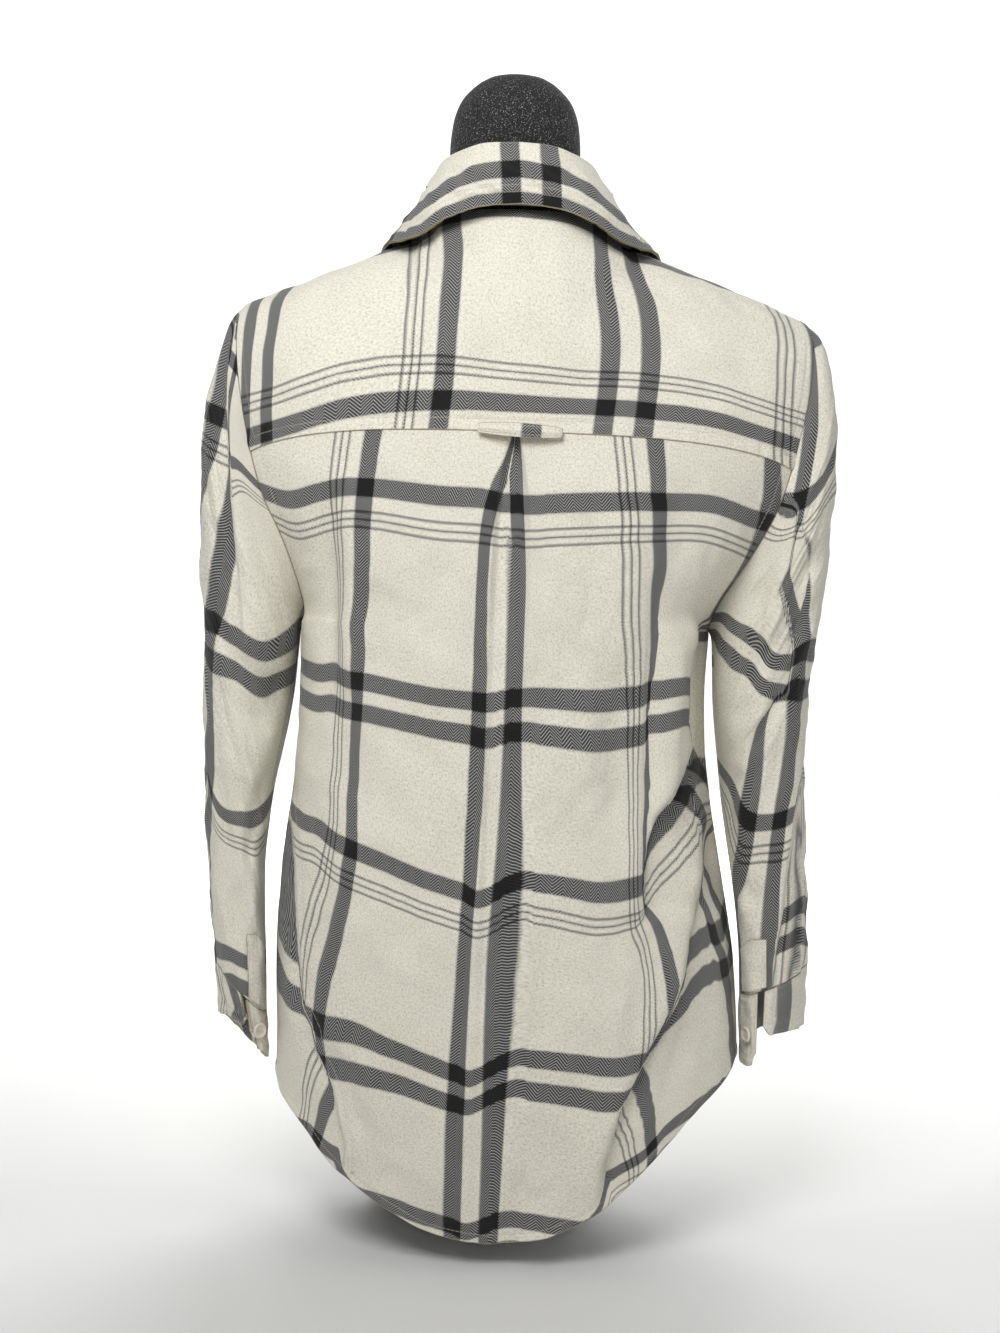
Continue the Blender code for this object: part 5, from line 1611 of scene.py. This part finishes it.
SLEEVE_CLOTH = {
    Hand.LEFT: SleeveCloth(
        drape(LEFT_LOW, LEFT_STRIPE, ({190.0: ((-194, 590), (-191, 545), (-189, 500))}, {
            23.0: ((-197, 551), (-189, 549), (-181, 542), (-174, 533)),
            0.0: ((-192, 532), (-181, 532), (-170, 523)),
        }), across=16),
        (Tuck(
            ((-200, 640), (-201, 622), (-196, 567), (-193, 525), (-187, 482), (-182, 437)),
            drape(LEFT_LOW, LEFT_STRIPE, ({
                139.3: ((-203, 607), (-206, 586), (-212, 563), (-218, 540), (-221, 516)),
                168.0: ((-193, 525), (-196, 492), (-201, 460), (-206, 440), (-210, 413)),
            }, {23.0: ((-220, 596), (-208, 585)), 0.0: ((-223, 572), (-207, 560))}), across=16),
            beyond=-1, drop=3.5, roll=2.5, reach=30.0, fade=30.0,
        ),),
        (
            Fold((0.16, 0.42), (0.40, 0.20), 3.0, 0.050), Fold((0.24, 0.44), (0.50, 0.30), -4.0, 0.040),
            Fold((0.36, 0.44), (0.62, 0.33), 3.0, 0.045), Fold((0.46, 0.42), (0.80, 0.30), -3.5, 0.040),
            Fold((0.60, 0.12), (0.96, 0.15), 2.5, 0.050), Fold((0.70, 0.36), (0.98, 0.34), 3.0, 0.050),
            Fold((0.66, 0.20), (0.94, 0.24), -3.0, 0.035), *FRONT_FOLDS,
        ),
    ),
    Hand.RIGHT: SleeveCloth(
        drape(RIGHT_LOW, RIGHT_STRIPE, ({
            175.0: ((214, 531), (220, 508), (220, 489), (221, 467)), 161.0: ((205, 539),),
            212.0: ((243, 540),), 226.0: ((238, 480),), 238.0: ((234, 430),), 244.0: ((231, 402),),
            146.3: ((200, 396), (196, 385), (193, 374), (192, 360), (190, 339)),
            132.3: ((182, 351), (181, 338), (180, 320)),
        }, {23.0: ((208, 537), (214, 540), (243, 585)), 0.0: ((213, 516), (244, 556))}), across=16, up=18),
        (
            Tuck(
                ((211, 526), (213, 512), (220, 491), (218, 474), (216, 458), (216, 446)),
                drape(RIGHT_LOW, RIGHT_STRIPE, ({
                    161.0: ((199, 476), (202, 465)),
                    175.0: ((205, 488), (208, 477), (212, 467), (216, 458)),
                }, {0.0: ((212, 516),)}), across=16, up=18),
                beyond=-1, drop=1.5, roll=1.5, reach=12.0, soft=0.6, spread=0.1, fade=14.0,
            ),
            Tuck(
                ((209, 526), (208, 511), (205, 491), (199, 476), (202, 465), (208, 448), (211, 436),
                 (210, 420), (209, 406), (208, 399), (200, 397), (196, 389), (189, 380), (184, 370),
                 (182, 351)),
                drape(RIGHT_LOW, ({
                    118.0: (
                        (207, 511), (205, 491), (199, 475), (199, 455), (207, 424), (197, 400), (188, 383),
                    ),
                }, {
                    23.0: ((200, 533),), 0.0: ((194, 514), (208, 516)),
                    -111.0: ((164, 453), (176, 443), (184, 438), (193, 425), (207, 423)),
                    -134.0: ((164, 431), (175, 420), (183, 414), (194, 403), (204, 401)),
                    -233.0: ((171, 336), (178, 315)),
                }), across=16, up=18),
                beyond=-1, drop=-1.5, roll=0.0, reach=14.0, soft=0.6, spread=0.5, fade=14.0,
            ),
            Tuck(
                ((231, 402), (230, 383), (227, 353), (221, 335), (217, 298), (213, 269), (211, 242),
                 (208, 215), (207, 190)),
                drape(({
                    264.0: ((222, 300), (222, 280), (224, 236), (219, 192)), 257.0: ((224, 335),),
                    251.0: ((229, 368),), 244.0: ((231, 402),), 238.0: ((234, 430),), 226.0: ((238, 480),),
                    212.0: ((243, 540),), 262.0: ((233, 368),), 268.0: ((234, 335),),
                    276.0: ((235, 300), (237, 250), (238, 205)),
                }, {
                    -111.0: ((235, 433),), -134.0: ((231, 405),), -233.0: ((226, 352),),
                    -256.0: ((222, 332),), -367.0: ((236, 239), (217, 242)),
                    -390.0: ((236, 220), (214, 219)),
                }), across=16),
                drop=4.0, roll=1.5, reach=30.0, spread=0.1, fade=20.0,
            ),
        ),
        (
            Fold((0.20, 0.26), (0.44, 0.21), -3.0, 0.028), Fold((0.21, 0.22), (0.30, 0.30), 3.0, 0.035),
            Fold((0.04, 0.35), (0.26, 0.34), -3.5, 0.030), Fold((0.44, 0.22), (0.50, 0.32), -3.0, 0.030),
            Fold((0.50, 0.47), (0.70, 0.38), -3.5, 0.030), Fold((0.62, 0.08), (0.96, 0.25), 3.0, 0.040),
            Fold((0.24, 0.44), (0.46, 0.36), 3.0, 0.045), Fold((0.60, 0.36), (0.96, 0.38), 3.0, 0.050),
            *FRONT_FOLDS,
        ),
    ),
}


# ---------------------------------------------------------------- cuffs
@dataclass(frozen=True)
class Wrist:
    """One hand's cuff: its slit, how its ends hang, and where the sleeve's pointed strip lies.

    slit, strip and reach are turns round the sleeve. drop is how much lower the underlap ends, fading
    out over `run` turns, swing how much higher and flare how much further out the other end does, and
    lean is how far the back is drawn to the body. top is how far up the sleeve the strip reaches, and
    cut where the band starts across the cloth's repeat.
    """

    slit: float
    drop: float
    run: float
    swing: float
    flare: float
    lean: float
    strip: float
    reach: float
    top: float
    cut: float


WRIST = {
    Hand.RIGHT: Wrist(0.305, 6.0, 0.22, 13.0, 6.0, 0.0, 0.332, 0.066, 0.905, 150.0),
    Hand.LEFT: Wrist(0.275, -14.0, 0.50, 19.0, 0.0, 6.0, 0.345, 0.064, 0.892, 60.0),
}


@dataclass
class Cuff:
    """An open cuff: a band round the sleeve's end, with its slit at the back, and its pointed strip."""

    hand: Hand
    sleeve: Sleeve
    rows: int = 30
    columns: int = 210
    thick: float = 2.2
    height: float = 46.0
    gap: float = 0.8
    slit_width: float = 0.030
    strip_lift: float = 2.5
    strip_thick: float = 1.4
    strip_start: float = 0.995
    strip_taper: float = 0.75
    strip_grid: tuple[int, int] = (36, 16)
    strip_cut_at: tuple[float, float] = (80.0, 60.0)
    cut_up: float = 172.0
    stitched_end: float = 9.0
    wrist_depth: float = 45.0
    flat: tuple[float, float] = (0.22, 0.052)
    strip_flat: tuple[float, float] = (0.024, 0.04)

    @property
    def wrist(self) -> Wrist:
        """This hand's sizes."""
        return WRIST[self.hand]

    def ring(self, turn: Array, t: float = 1.0) -> Array:
        """Points round the sleeve at t, turns counted from the shoulder tip."""
        turn = (np.asarray(turn) + 0.5) % 1.0 - 0.5
        return self.sleeve.place(np.full(turn.shape, t), turn)

    def centre(self, t: float = 1.0) -> Array:
        """The middle of the sleeve at t."""
        return self.ring(np.linspace(0, 1, 61)[:-1], t).mean(0)

    def place(self, turn: Array, down: Array) -> Array:
        """Points of the cuff: turn round the wrist, down from the sleeve to its edge."""
        turn, down = np.broadcast_arrays(turn, down)
        wrist, centre, top = self.wrist, self.centre(), self.ring(turn)
        from_low = turn - wrist.slit
        from_high = 1 - self.slit_width - from_low
        lower = wrist.drop * fall_off(0.06, wrist.run, from_low)
        swing = wrist.swing * fall_off(0.0, 0.34, from_high)
        corner = 8 * fall_off(0.0, 0.03, np.minimum(from_low, from_high)) * smooth(0.6, 1.0, down)
        out = unit((top - centre) * np.array([1, 1, 0]))
        drop = self.gap + (self.height + lower - swing) * down - corner
        flare = wrist.flare * fall_off(0.0, 0.34, from_high) - 1.5
        behind = 0.5 - 0.5 * (top[..., 1] - centre[1]) / self.wrist_depth
        lean = self.hand.value * wrist.lean * behind * down
        return top + out * (flare * down)[..., None] - np.stack([lean, np.zeros(down.shape), drop], -1)

    def band(self) -> bpy.types.Object:
        """Makes the cuff's band."""
        turn = across_row(self.columns, self.wrist.slit, self.wrist.slit + 1 - self.slit_width)
        grid = faced(self.place(turn, up_column(self.rows, 1.0, 0.0)), self.hand)
        across, up = arc(grid, 1), arc(grid, 0)
        away = nearest_edge(from_edges(up, 0), from_edges(across, 1))
        cut = np.stack([across + self.wrist.cut, up + self.cut_up], -1)
        ripple = Ripple(seed=70 + self.hand.value, height=0.45, length=24.0)
        grid = grid + outward(grid) * (ripple(across, up) * smooth(0.0, 8.0, away))[..., None]
        seam = np.stack([away, np.where(up < self.stitched_end, across, up)], -1)
        return Shell(f"shirt_cuff_{self.hand.word}", grid, cut, seam, self.thick).build()

    def strip(self) -> bpy.types.Object:
        """Makes the pointed strip that finishes the sleeve's slit."""
        rows, columns = self.strip_grid
        wrist = self.wrist
        grid = []
        for step in np.linspace(0, 1, rows + 1):
            t = self.strip_start + (wrist.top - self.strip_start) * step
            taper = 1.0 - self.strip_taper * smooth(0.85, 1.0, step)
            turn = wrist.strip + np.linspace(-1, 1, columns + 1) * wrist.reach * taper
            at = self.ring(turn, t)
            out = unit((at - self.centre(t)) * np.array([1, 1, 0]))
            grid.append(at + out * self.strip_lift)
        grid = faced(np.array(grid), self.hand)
        across, up = arc(grid, 1), arc(grid, 0)
        middle = across[:, columns // 2:columns // 2 + 1]
        away = nearest_edge(from_edges(across, 1), up[-1:] - up)
        cut = np.stack([across - middle + self.strip_cut_at[0], up + self.strip_cut_at[1]], -1)
        seam = np.stack([away, up], -1)
        return Shell(f"sleeve_strip_{self.hand.word}", grid, cut, seam, self.strip_thick).build()


# ---------------------------------------------------------------- collar
@dataclass
class Collar:
    """The collar: an upright stand round the neck, and the leaf that folds over it."""

    panels: list[Array]
    columns: int = 260
    thick: float = 2.2
    rest: float = 2.2
    start: float = 2.4
    bow: float = 1.6
    settle: float = 0.45
    hollow: dict[int, float] = field(default_factory=lambda: {1: 5.0, -1: 3.0})
    stand_cut_at: tuple[float, float] = (154.0, 60.0)
    fall_cut_at: tuple[float, float] = (145.0, 147.0)
    stand_flat: tuple[float, float] = (0.35, 0.038)
    fall_flat: tuple[float, float] = (0.50, 0.075)

    def stand(self) -> bpy.types.Object:
        """Makes the stand."""
        turn = np.linspace(-0.99, 0.99, self.columns + 1)
        low, fold, _, up, _ = NECK.axes(turn)
        first = low + unit(fold - low) * self.start
        last = fold - up * NECK.stand_short
        share = np.linspace(0, 1, 17)[:, None, None]
        grid = first[None] + (last - first)[None] * share
        across, rise = arc(grid, 1), arc(grid, 0)
        middle = self.columns // 2
        left, high = self.stand_cut_at
        cut = np.stack([across - across[:, middle:middle + 1] + left, rise + high], -1)
        seam = np.stack([rise, across], -1)
        return Shell("neck_stand", grid, cut, seam, self.thick).build()

    def tree(self) -> BVHTree:
        """A search tree over the outer faces of the panels that the leaf rests on."""
        points, faces = [], []
        for grid in self.panels:
            grid = grid[::2, ::2]
            rows, cols = grid.shape[:2]
            order = np.arange(rows * cols).reshape(rows, cols) + len(points)
            quads = np.stack([order[:-1, :-1], order[:-1, 1:], order[1:, 1:], order[1:, :-1]], -1)
            points += grid.reshape(-1, 3).tolist()
            faces += quads.reshape(-1, 4).tolist()
        return BVHTree.FromPolygons(points, faces)

    def fall(self) -> bpy.types.Object:
        """Makes the leaf: up from the stand, over the fold and down to its outer edge."""
        turn = np.linspace(-1.0, 1.0, self.columns + 1)
        _, fold, edge, up, out = NECK.axes(turn)
        middle = fold - up * NECK.roll
        tail = up * (NECK.stand_short - 0.6 - NECK.roll)
        lines = [middle - out * NECK.roll - tail * share for share in (1.0, 0.5)]
        for angle in np.radians(np.linspace(180, 0, 15)):
            lines.append(middle + (out * math.cos(angle) + up * math.sin(angle)) * NECK.roll)
        start = lines[-1]
        hollow = np.where(turn > 0, self.hollow[1], self.hollow[-1]) * smooth(0.3, 0.55, np.abs(turn))
        settle = self.settle * fall_off(0.35, 0.55, np.abs(turn))
        tree = self.tree()
        for share in np.linspace(0, 1, 34)[1:]:
            bow = (self.bow - hollow) * math.sin(math.pi * share)
            row = start + (edge - start) * share + out * bow[:, None]
            for i, point in enumerate(row):
                near, normal, _, _ = tree.find_nearest(point.tolist())
                normal = np.array(normal)
                short = self.thick + self.rest - float((point - np.array(near)) @ normal)
                row[i] = point + normal * max(short, -settle[i] * share**3 * abs(short))
            lines.append(row)
        grid = np.array(lines)[:, ::-1]
        across, down = arc(grid, 1), arc(grid, 0)
        half = self.columns // 2
        low = down[-1:] - down
        away = nearest_edge(low, from_edges(across, 1))
        # Turned over the fold, the grid's columns run to the left as seen from outside.
        left = across[:, half:half + 1] - across
        cut = np.stack([self.fall_cut_at[0] + left, self.fall_cut_at[1] - low], -1)
        seam = np.stack([away, across], -1)
        ripple = Ripple(seed=90, height=0.5, length=26.0)
        lift = ripple(across, down) * smooth(0.0, 10.0, away) * smooth(14.0, 30.0, down)
        return Shell("collar_leaf", grid + outward(grid) * lift[..., None], cut, seam, self.thick).build()


# ---------------------------------------------------------------- trim
@dataclass
class Band:
    """The strip that carries the buttonholes, on the right front's edge."""

    half: float = 12.5
    inset: float = 0.3
    cut_at: tuple[float, float] = (11.0, 505.0)
    lift: float = 2.0
    thick: float = 1.2
    flat: tuple[float, float] = (0.026, 0.60)

    def build(self) -> bpy.types.Object:
        """Makes the band."""
        front = Front(Hand.RIGHT)
        span = TORSO.front_top - TORSO.hem_front
        share = np.linspace(0.012, (NECK.stand_end - 3 - TORSO.hem_front) / span, 261)[:, None]
        z = TORSO.hem_front + span * share
        x = front.inner(z) + self.inset + (2 * self.half - self.inset) * across_row(16, 1.0, 0.0)
        z = np.broadcast_to(z, x.shape)
        grid = TORSO.point(z, TORSO.angle_at(x, z, Side.FRONT), Side.FRONT, self.lift)
        across, up = arc(grid, 1), arc(grid, 0)
        cut = np.stack([across + self.cut_at[0], z - self.cut_at[1]], -1)
        seam = np.stack([from_edges(across, 1), up], -1)
        return Shell("button_strip", grid, cut, seam, self.thick).build()


@dataclass
class Button:
    """A four-holed button, dished in the middle, with its thread."""

    name: str
    node: str
    centre: Array
    out: Array
    radius: float = 5.6
    thick: float = 2.4
    hole: float = 1.05
    around: int = 48

    def build(self, plastic: bpy.types.Material, thread: bpy.types.Material) -> bpy.types.Object:
        """Makes the button and its thread as one piece."""
        out = unit(np.array(self.out, float))
        side = unit(np.cross(out, (0, 0, 1)))
        up = np.cross(side, out)
        profile = (
            (0.0, 0.05), (0.80, 0.0), (0.95, 0.18), (1.0, 0.45), (0.97, 0.78), (0.88, 0.97), (0.78, 1.0),
            (0.68, 0.86), (0.60, 0.70), (0.0, 0.66),
        )
        turn = np.linspace(0, 2 * math.pi, self.around + 1)[:-1]
        ring = side[None] * np.cos(turn)[:, None] + up[None] * np.sin(turn)[:, None]
        points, faces = [], []
        for share, high in profile:
            reach = self.radius * max(share, 0.02)
            points += (self.centre + ring * reach + out * self.thick * high).tolist()
        for r in range(len(profile) - 1):
            for i in range(self.around):
                a, b = r * self.around + i, r * self.around + (i + 1) % self.around
                faces.append((a, a + self.around, b + self.around, b))
        plain = len(faces)
        for x, y in ((-1, -1), (1, -1), (1, 1), (-1, 1)):
            at = self.centre + (side * x + up * y) * self.hole + out * (self.thick * 0.70)
            self.disc(points, faces, at, side, up, out)
        for x in (-1, 1):
            self.strand(points, faces, side, up, out, x)
        made = mesh_object(self.name, np.array(points) * MM, faces, {})
        sew(made, Slot.PLASTIC, plastic, self.node)
        made.data.materials.append(thread)
        for polygon in made.data.polygons[plain:]:
            polygon.material_index = 1
        return made

    def disc(self, points: list, faces: list, at: Array, side: Array, up: Array, out: Array) -> None:
        """Adds the thread that fills one hole."""
        start = len(points)
        for share, high in ((0.55, 0.0), (0.42, 0.22)):
            for i in range(12):
                a = 2 * math.pi * i / 12
                points.append((at + (side * math.cos(a) + up * math.sin(a)) * share + out * high).tolist())
        for i in range(12):
            j = (i + 1) % 12
            faces.append((start + i, start + j, start + 12 + j, start + 12 + i))
        faces.append(tuple(start + 12 + i for i in range(12)))

    def strand(self, points: list, faces: list, side: Array, up: Array, out: Array, x: int) -> None:
        """Adds one bowed strand between two holes."""
        start = len(points)
        steps = 7
        for k in range(steps):
            share = k / (steps - 1)
            lift = self.thick * 0.72 + 0.75 * math.sin(math.pi * share) ** 0.6
            at = self.centre + side * x * self.hole + up * (2 * share - 1) * self.hole + out * lift
            for i in range(8):
                a = 2 * math.pi * i / 8
                points.append((at + (side * math.cos(a) + out * math.sin(a)) * 0.36).tolist())
        for k in range(steps - 1):
            for i in range(8):
                a, b = start + k * 8 + i, start + k * 8 + (i + 1) % 8
                faces.append((a, b, b + 8, a + 8))


@dataclass
class LockerLoop:
    """The hanging loop at the middle of the yoke seam: a narrow tube, bowed out, sewn at both ends."""

    low: float = -31.0
    high: float = 27.5
    rise: float = 10.0
    thick: float = 2.2
    cut_at: tuple[float, float] = (101.5, 60.0)
    flat: tuple[float, float] = (0.056, 0.010)

    def build(self) -> bpy.types.Object:
        """Makes the loop."""
        share, up = np.broadcast_arrays(across_row(80), up_column(14))
        x = self.low + (self.high - self.low) * share
        bow = np.sin(math.pi * share) ** 0.6
        z = TORSO.yoke_seam + 1.5 + self.rise * (up - 0.5) * (0.6 + 0.4 * bow) - 2.0 * share
        level = TORSO.yoke_seam - 4
        puff = 1.1 * np.sin(math.pi * up)
        base = TORSO.point(level, TORSO.angle_at(x, level, Side.BACK), Side.BACK, 3.4 + 3.4 * bow + puff)
        grid = np.stack([base[..., 0], base[..., 1], z], -1)
        across, rise = arc(grid, 1), arc(grid, 0)
        cut = np.stack([across + self.cut_at[0], rise + self.cut_at[1]], -1)
        seam = np.stack([from_edges(rise, 0), across], -1)
        return Shell("hanging_loop", grid, cut, seam, self.thick).build()


# ---------------------------------------------------------------- dress form
@dataclass
class DressForm:
    """The limbless form: rounded sections from its flat foot to the top of its neck."""

    around: int = 160
    step: float = 4.0
    power: float = 2 / 2.2

    def build(self) -> bpy.types.Object:
        """Makes the form."""
        keys = [row[0] for row in FORM.rows]
        heights: list[float] = []
        for low, high in zip(keys, keys[1:]):
            count = max(2, round((high - low) / self.step))
            heights += [low + (high - low) * i / count for i in range(count)]
        z = np.array(heights + [keys[-1]])[:, None]
        turn = np.linspace(0, 2 * math.pi, self.around + 1)[None, :-1]
        back, front = FORM("back", z), FORM("front", z)
        c, s = np.cos(turn), np.sin(turn)
        x = FORM("width", z) * np.copysign(np.abs(c) ** self.power, c)
        y = (front - back) / 2 + (front + back) / 2 * np.copysign(np.abs(s) ** self.power, s)
        grid = np.stack(np.broadcast_arrays(x, y, z), -1)
        rings, cols = grid.shape[:2]
        order = np.arange(rings * cols).reshape(rings, cols)
        beside = np.roll(order, -1, 1)
        faces = np.stack([order[:-1], beside[:-1], beside[1:], order[1:]], -1).reshape(-1, 4).tolist()
        faces += [order[0, ::-1].tolist(), order[-1].tolist()]
        return mesh_object("form_cover", grid.reshape(-1, 3) * MM, faces, {})


# ---------------------------------------------------------------- studio
@dataclass
class Studio:
    """A plain pale floor that curves up behind, soft light, and the camera."""

    camera_at: tuple[float, float, float] = (0.002, -1.300, 0.460)
    roll: float = 2.0
    sensor: float = 36.0
    frame_size: tuple[int, int] = (1000, 1333)
    focal_pixels: float = 1739.0
    shift_pixels: tuple[float, float] = (-2.3, -66.0)

    def camera(self) -> None:
        """Places the camera level, at the middle of the shirt's height."""
        tall = self.frame_size[1]
        data = bpy.data.cameras.new("camera")
        data.sensor_width = self.sensor
        data.lens = self.focal_pixels / tall * self.sensor
        data.shift_x = self.shift_pixels[0] / tall
        data.shift_y = self.shift_pixels[1] / tall
        data.dof.use_dof = False
        camera = bpy.data.objects.new("camera", data)
        bpy.context.scene.collection.objects.link(camera)
        level = Matrix.Rotation(math.radians(90), 4, "X") @ Matrix.Rotation(math.radians(self.roll), 4, "Z")
        camera.matrix_world = Matrix.Translation(self.camera_at) @ level
        bpy.context.scene.camera = camera

    def lamp(self, name: str, at: tuple[float, float, float], aim: tuple[float, float, float],
             size: float, power: float, spread: float = 180.0) -> None:
        """Adds one soft square lamp.

        Args:
            name: its name.
            at: where it stands.
            aim: what it looks at.
            size: its side, in metres.
            power: in watts.
            spread: how wide its light fans out, in degrees.
        """
        data = bpy.data.lights.new(name, "AREA")
        data.shape = "SQUARE"
        data.size = size
        data.energy = power
        data.spread = math.radians(spread)
        lamp = bpy.data.objects.new(name, data)
        bpy.context.scene.collection.objects.link(lamp)
        toward = np.array(aim, float) - np.array(at, float)
        yaw = math.atan2(toward[1], toward[0]) - math.pi / 2
        pitch = math.atan2(toward[2], math.hypot(toward[0], toward[1])) + math.pi / 2
        lamp.matrix_world = (
            Matrix.Translation(at) @ Matrix.Rotation(yaw, 4, "Z") @ Matrix.Rotation(pitch, 4, "X")
        )

    def backdrop(self) -> None:
        """Adds the floor, curving up into a wall all round at a distance."""
        radius, bend, wall = 3.2, 0.8, 3.2
        profile = [(r, 0.0) for r in np.linspace(0.05, radius, 12)]
        for a in np.linspace(0, math.pi / 2, 16)[1:]:
            profile.append((radius + bend * math.sin(a), bend * (1 - math.cos(a))))
        profile.append((radius + bend, wall))
        around = 96
        points = [
            (r * math.cos(2 * math.pi * i / around), r * math.sin(2 * math.pi * i / around), z)
            for r, z in profile for i in range(around)
        ]
        order = np.arange(len(points)).reshape(-1, around)
        beside = np.roll(order, -1, 1)
        faces = np.stack([order[:-1], beside[:-1], beside[1:], order[1:]], -1).reshape(-1, 4).tolist()
        faces.append(order[0].tolist())
        floor = mesh_object("floor", np.array(points), faces, {})
        floor.data.materials.append(Plain("pale_floor", (229, 229, 228), 0.9, 0.01, 0.002).material())

    def build(self) -> None:
        """Builds the whole studio."""
        self.camera()
        self.backdrop()
        world = bpy.data.worlds.new("studio")
        bpy.context.scene.world = world
        world.use_nodes = True
        background = world.node_tree.nodes["Background"]
        background.inputs["Color"].default_value = (1.0, 1.0, 1.0, 1.0)
        background.inputs["Strength"].default_value = 0.12
        scene = bpy.context.scene
        scene.view_settings.view_transform = "Standard"
        scene.view_settings.look = "None"
        middle = (0.0, 0.0, 0.42)
        self.lamp("key", (-0.28, -1.05, 1.32), (0.0, 0.0, 0.55), 0.7, 6.6, 120.0)
        self.lamp("fill", (1.5, -1.6, 0.9), middle, 1.6, 4.0)
        self.lamp("top", (0.0, 0.1, 2.4), middle, 1.4, 3.0)
        self.lamp("behind", (0.3, 2.0, 1.4), (0.0, 0.4, 0.0), 1.6, 44.0)
        self.lamp("wall", (0.0, 1.2, 2.4), (0.0, 4.0, 1.0), 1.6, 115.0)


# ---------------------------------------------------------------- putting it together
def sewn(piece: bpy.types.Object, material: bpy.types.Material, node: str) -> None:
    """Args:
        piece: the sheet.
        material: its finish.
        node: the solid it replaces.
    """
    sew(piece, Slot.FLANNEL, material, node)


@dataclass(frozen=True)
class Buttons:
    """The closed buttons down the front and the one on each cuff.

    lift and ahead are how far the front ones stand out from the body. On a cuff, from_slit is in turns
    from the slit and down in shares of its height.
    """

    top: float = 569.0
    pitch: float = 80.0
    count: int = 6
    lift: float = 2.6
    ahead: float = 0.4
    from_slit: float = 0.045
    down: float = 0.55

    def on_band(self, z: float) -> Array:
        """A point on the band's middle line."""
        angle = TORSO.angle_at(TORSO.front_x - SWAY("x", z), z, Side.FRONT)
        return TORSO.point(z, angle, Side.FRONT, self.lift)

    def on_cuff(self, cuff: Cuff) -> tuple[Array, Array]:
        """A cuff button's place, and the way it faces."""
        turn = cuff.wrist.slit + self.from_slit
        beside = cuff.place(np.array([turn - 0.02, turn + 0.02]), np.array([self.down] * 2))
        lower, upper = cuff.place(np.array([turn, turn]), np.array([0.7, 0.4]))
        out = unit(np.cross(beside[1] - beside[0], upper - lower)) * -cuff.hand.value
        if out @ (beside.mean(0) - cuff.centre()) < 0:
            out = -out
        return cuff.place(np.array([turn]), np.array([self.down]))[0] + out, out

    def build(self, cuffs: list[Cuff]) -> None:
        """Makes them all."""
        plastic = Plain("button_ivory", (226, 219, 203), 0.32, 0.06, 0.5).material()
        thread = Plain("button_thread", (214, 207, 190), 0.8, 0.12, 3.0).material()
        for i in range(self.count):
            z = self.top - self.pitch * i
            above, below = self.on_band(z + 8), self.on_band(z - 8)
            at = (above + below) / 2 + (0, self.ahead, 0)
            out = -np.cross((1, 0, 0), above - below)
            Button(f"front_button_{i + 1}", f"button_{i + 1}", at, out).build(plastic, thread)
        for cuff in cuffs:
            name = f"cuff_button_{cuff.hand.word}"
            Button(f"{name}_piece", name, *self.on_cuff(cuff)).build(plastic, thread)


def build_shirt() -> None:
    """Makes every sewn piece of the shirt."""
    panel = Flannel("flannel_panel", (HEM_ROW,)).material()
    yoke_cloth = Flannel("flannel_yoke", (8.5,)).material()
    sleeve_cloth = Flannel("flannel_sleeve").material()
    edged = Flannel("flannel_edged", (1.8, 7.5)).material()
    leaf_cloth = Flannel("flannel_collar", (8.5, 13.5)).material()
    narrow = Flannel("flannel_narrow", (2.0,)).material()

    back = BackPanel()
    sewn(back.build(), panel, "back_panel")
    yoke = Yoke()
    sewn(yoke.build(), yoke_cloth, "back_yoke")

    panels = [yoke.place(across_row(160, -1.0), up_column(80))]
    cuffs = []
    for hand in Hand:
        front = Front(hand)
        sewn(front.build(), panel, f"front_{hand.word}")
        panels.append(front.surface())
        yoke_edge = yoke.place(np.full(160, float(hand.value)), np.linspace(0, 1, 160))
        sleeve = Sleeve(hand, back.edge(hand, 160), yoke_edge, front.armhole(200), SLEEVE_CLOTH[hand])
        sewn(sleeve.build(), sleeve_cloth, f"sleeve_{hand.word}")
        cuff = Cuff(hand, sleeve)
        cuffs.append(cuff)
        sewn(cuff.band(), edged, f"cuff_{hand.word}")
        sewn(cuff.strip(), narrow, f"sleeve_placket_{hand.word}")

    collar = Collar(panels)
    sewn(collar.stand(), narrow, "collar_stand")
    sewn(collar.fall(), leaf_cloth, "collar_fall")
    band = Band()
    sewn(band.build(), narrow, "button_band")
    loop = LockerLoop()
    sewn(loop.build(), narrow, "locker_loop")
    Buttons().build(cuffs)


def main() -> None:
    """Builds the studio, the form and the shirt."""
    logging.basicConfig(level=logging.INFO, format="%(message)s")
    Studio().build()
    sew(DressForm().build(), Slot.JERSEY, Jersey().material(), "dress_form")
    build_shirt()


if __name__ == "__main__":
    main()
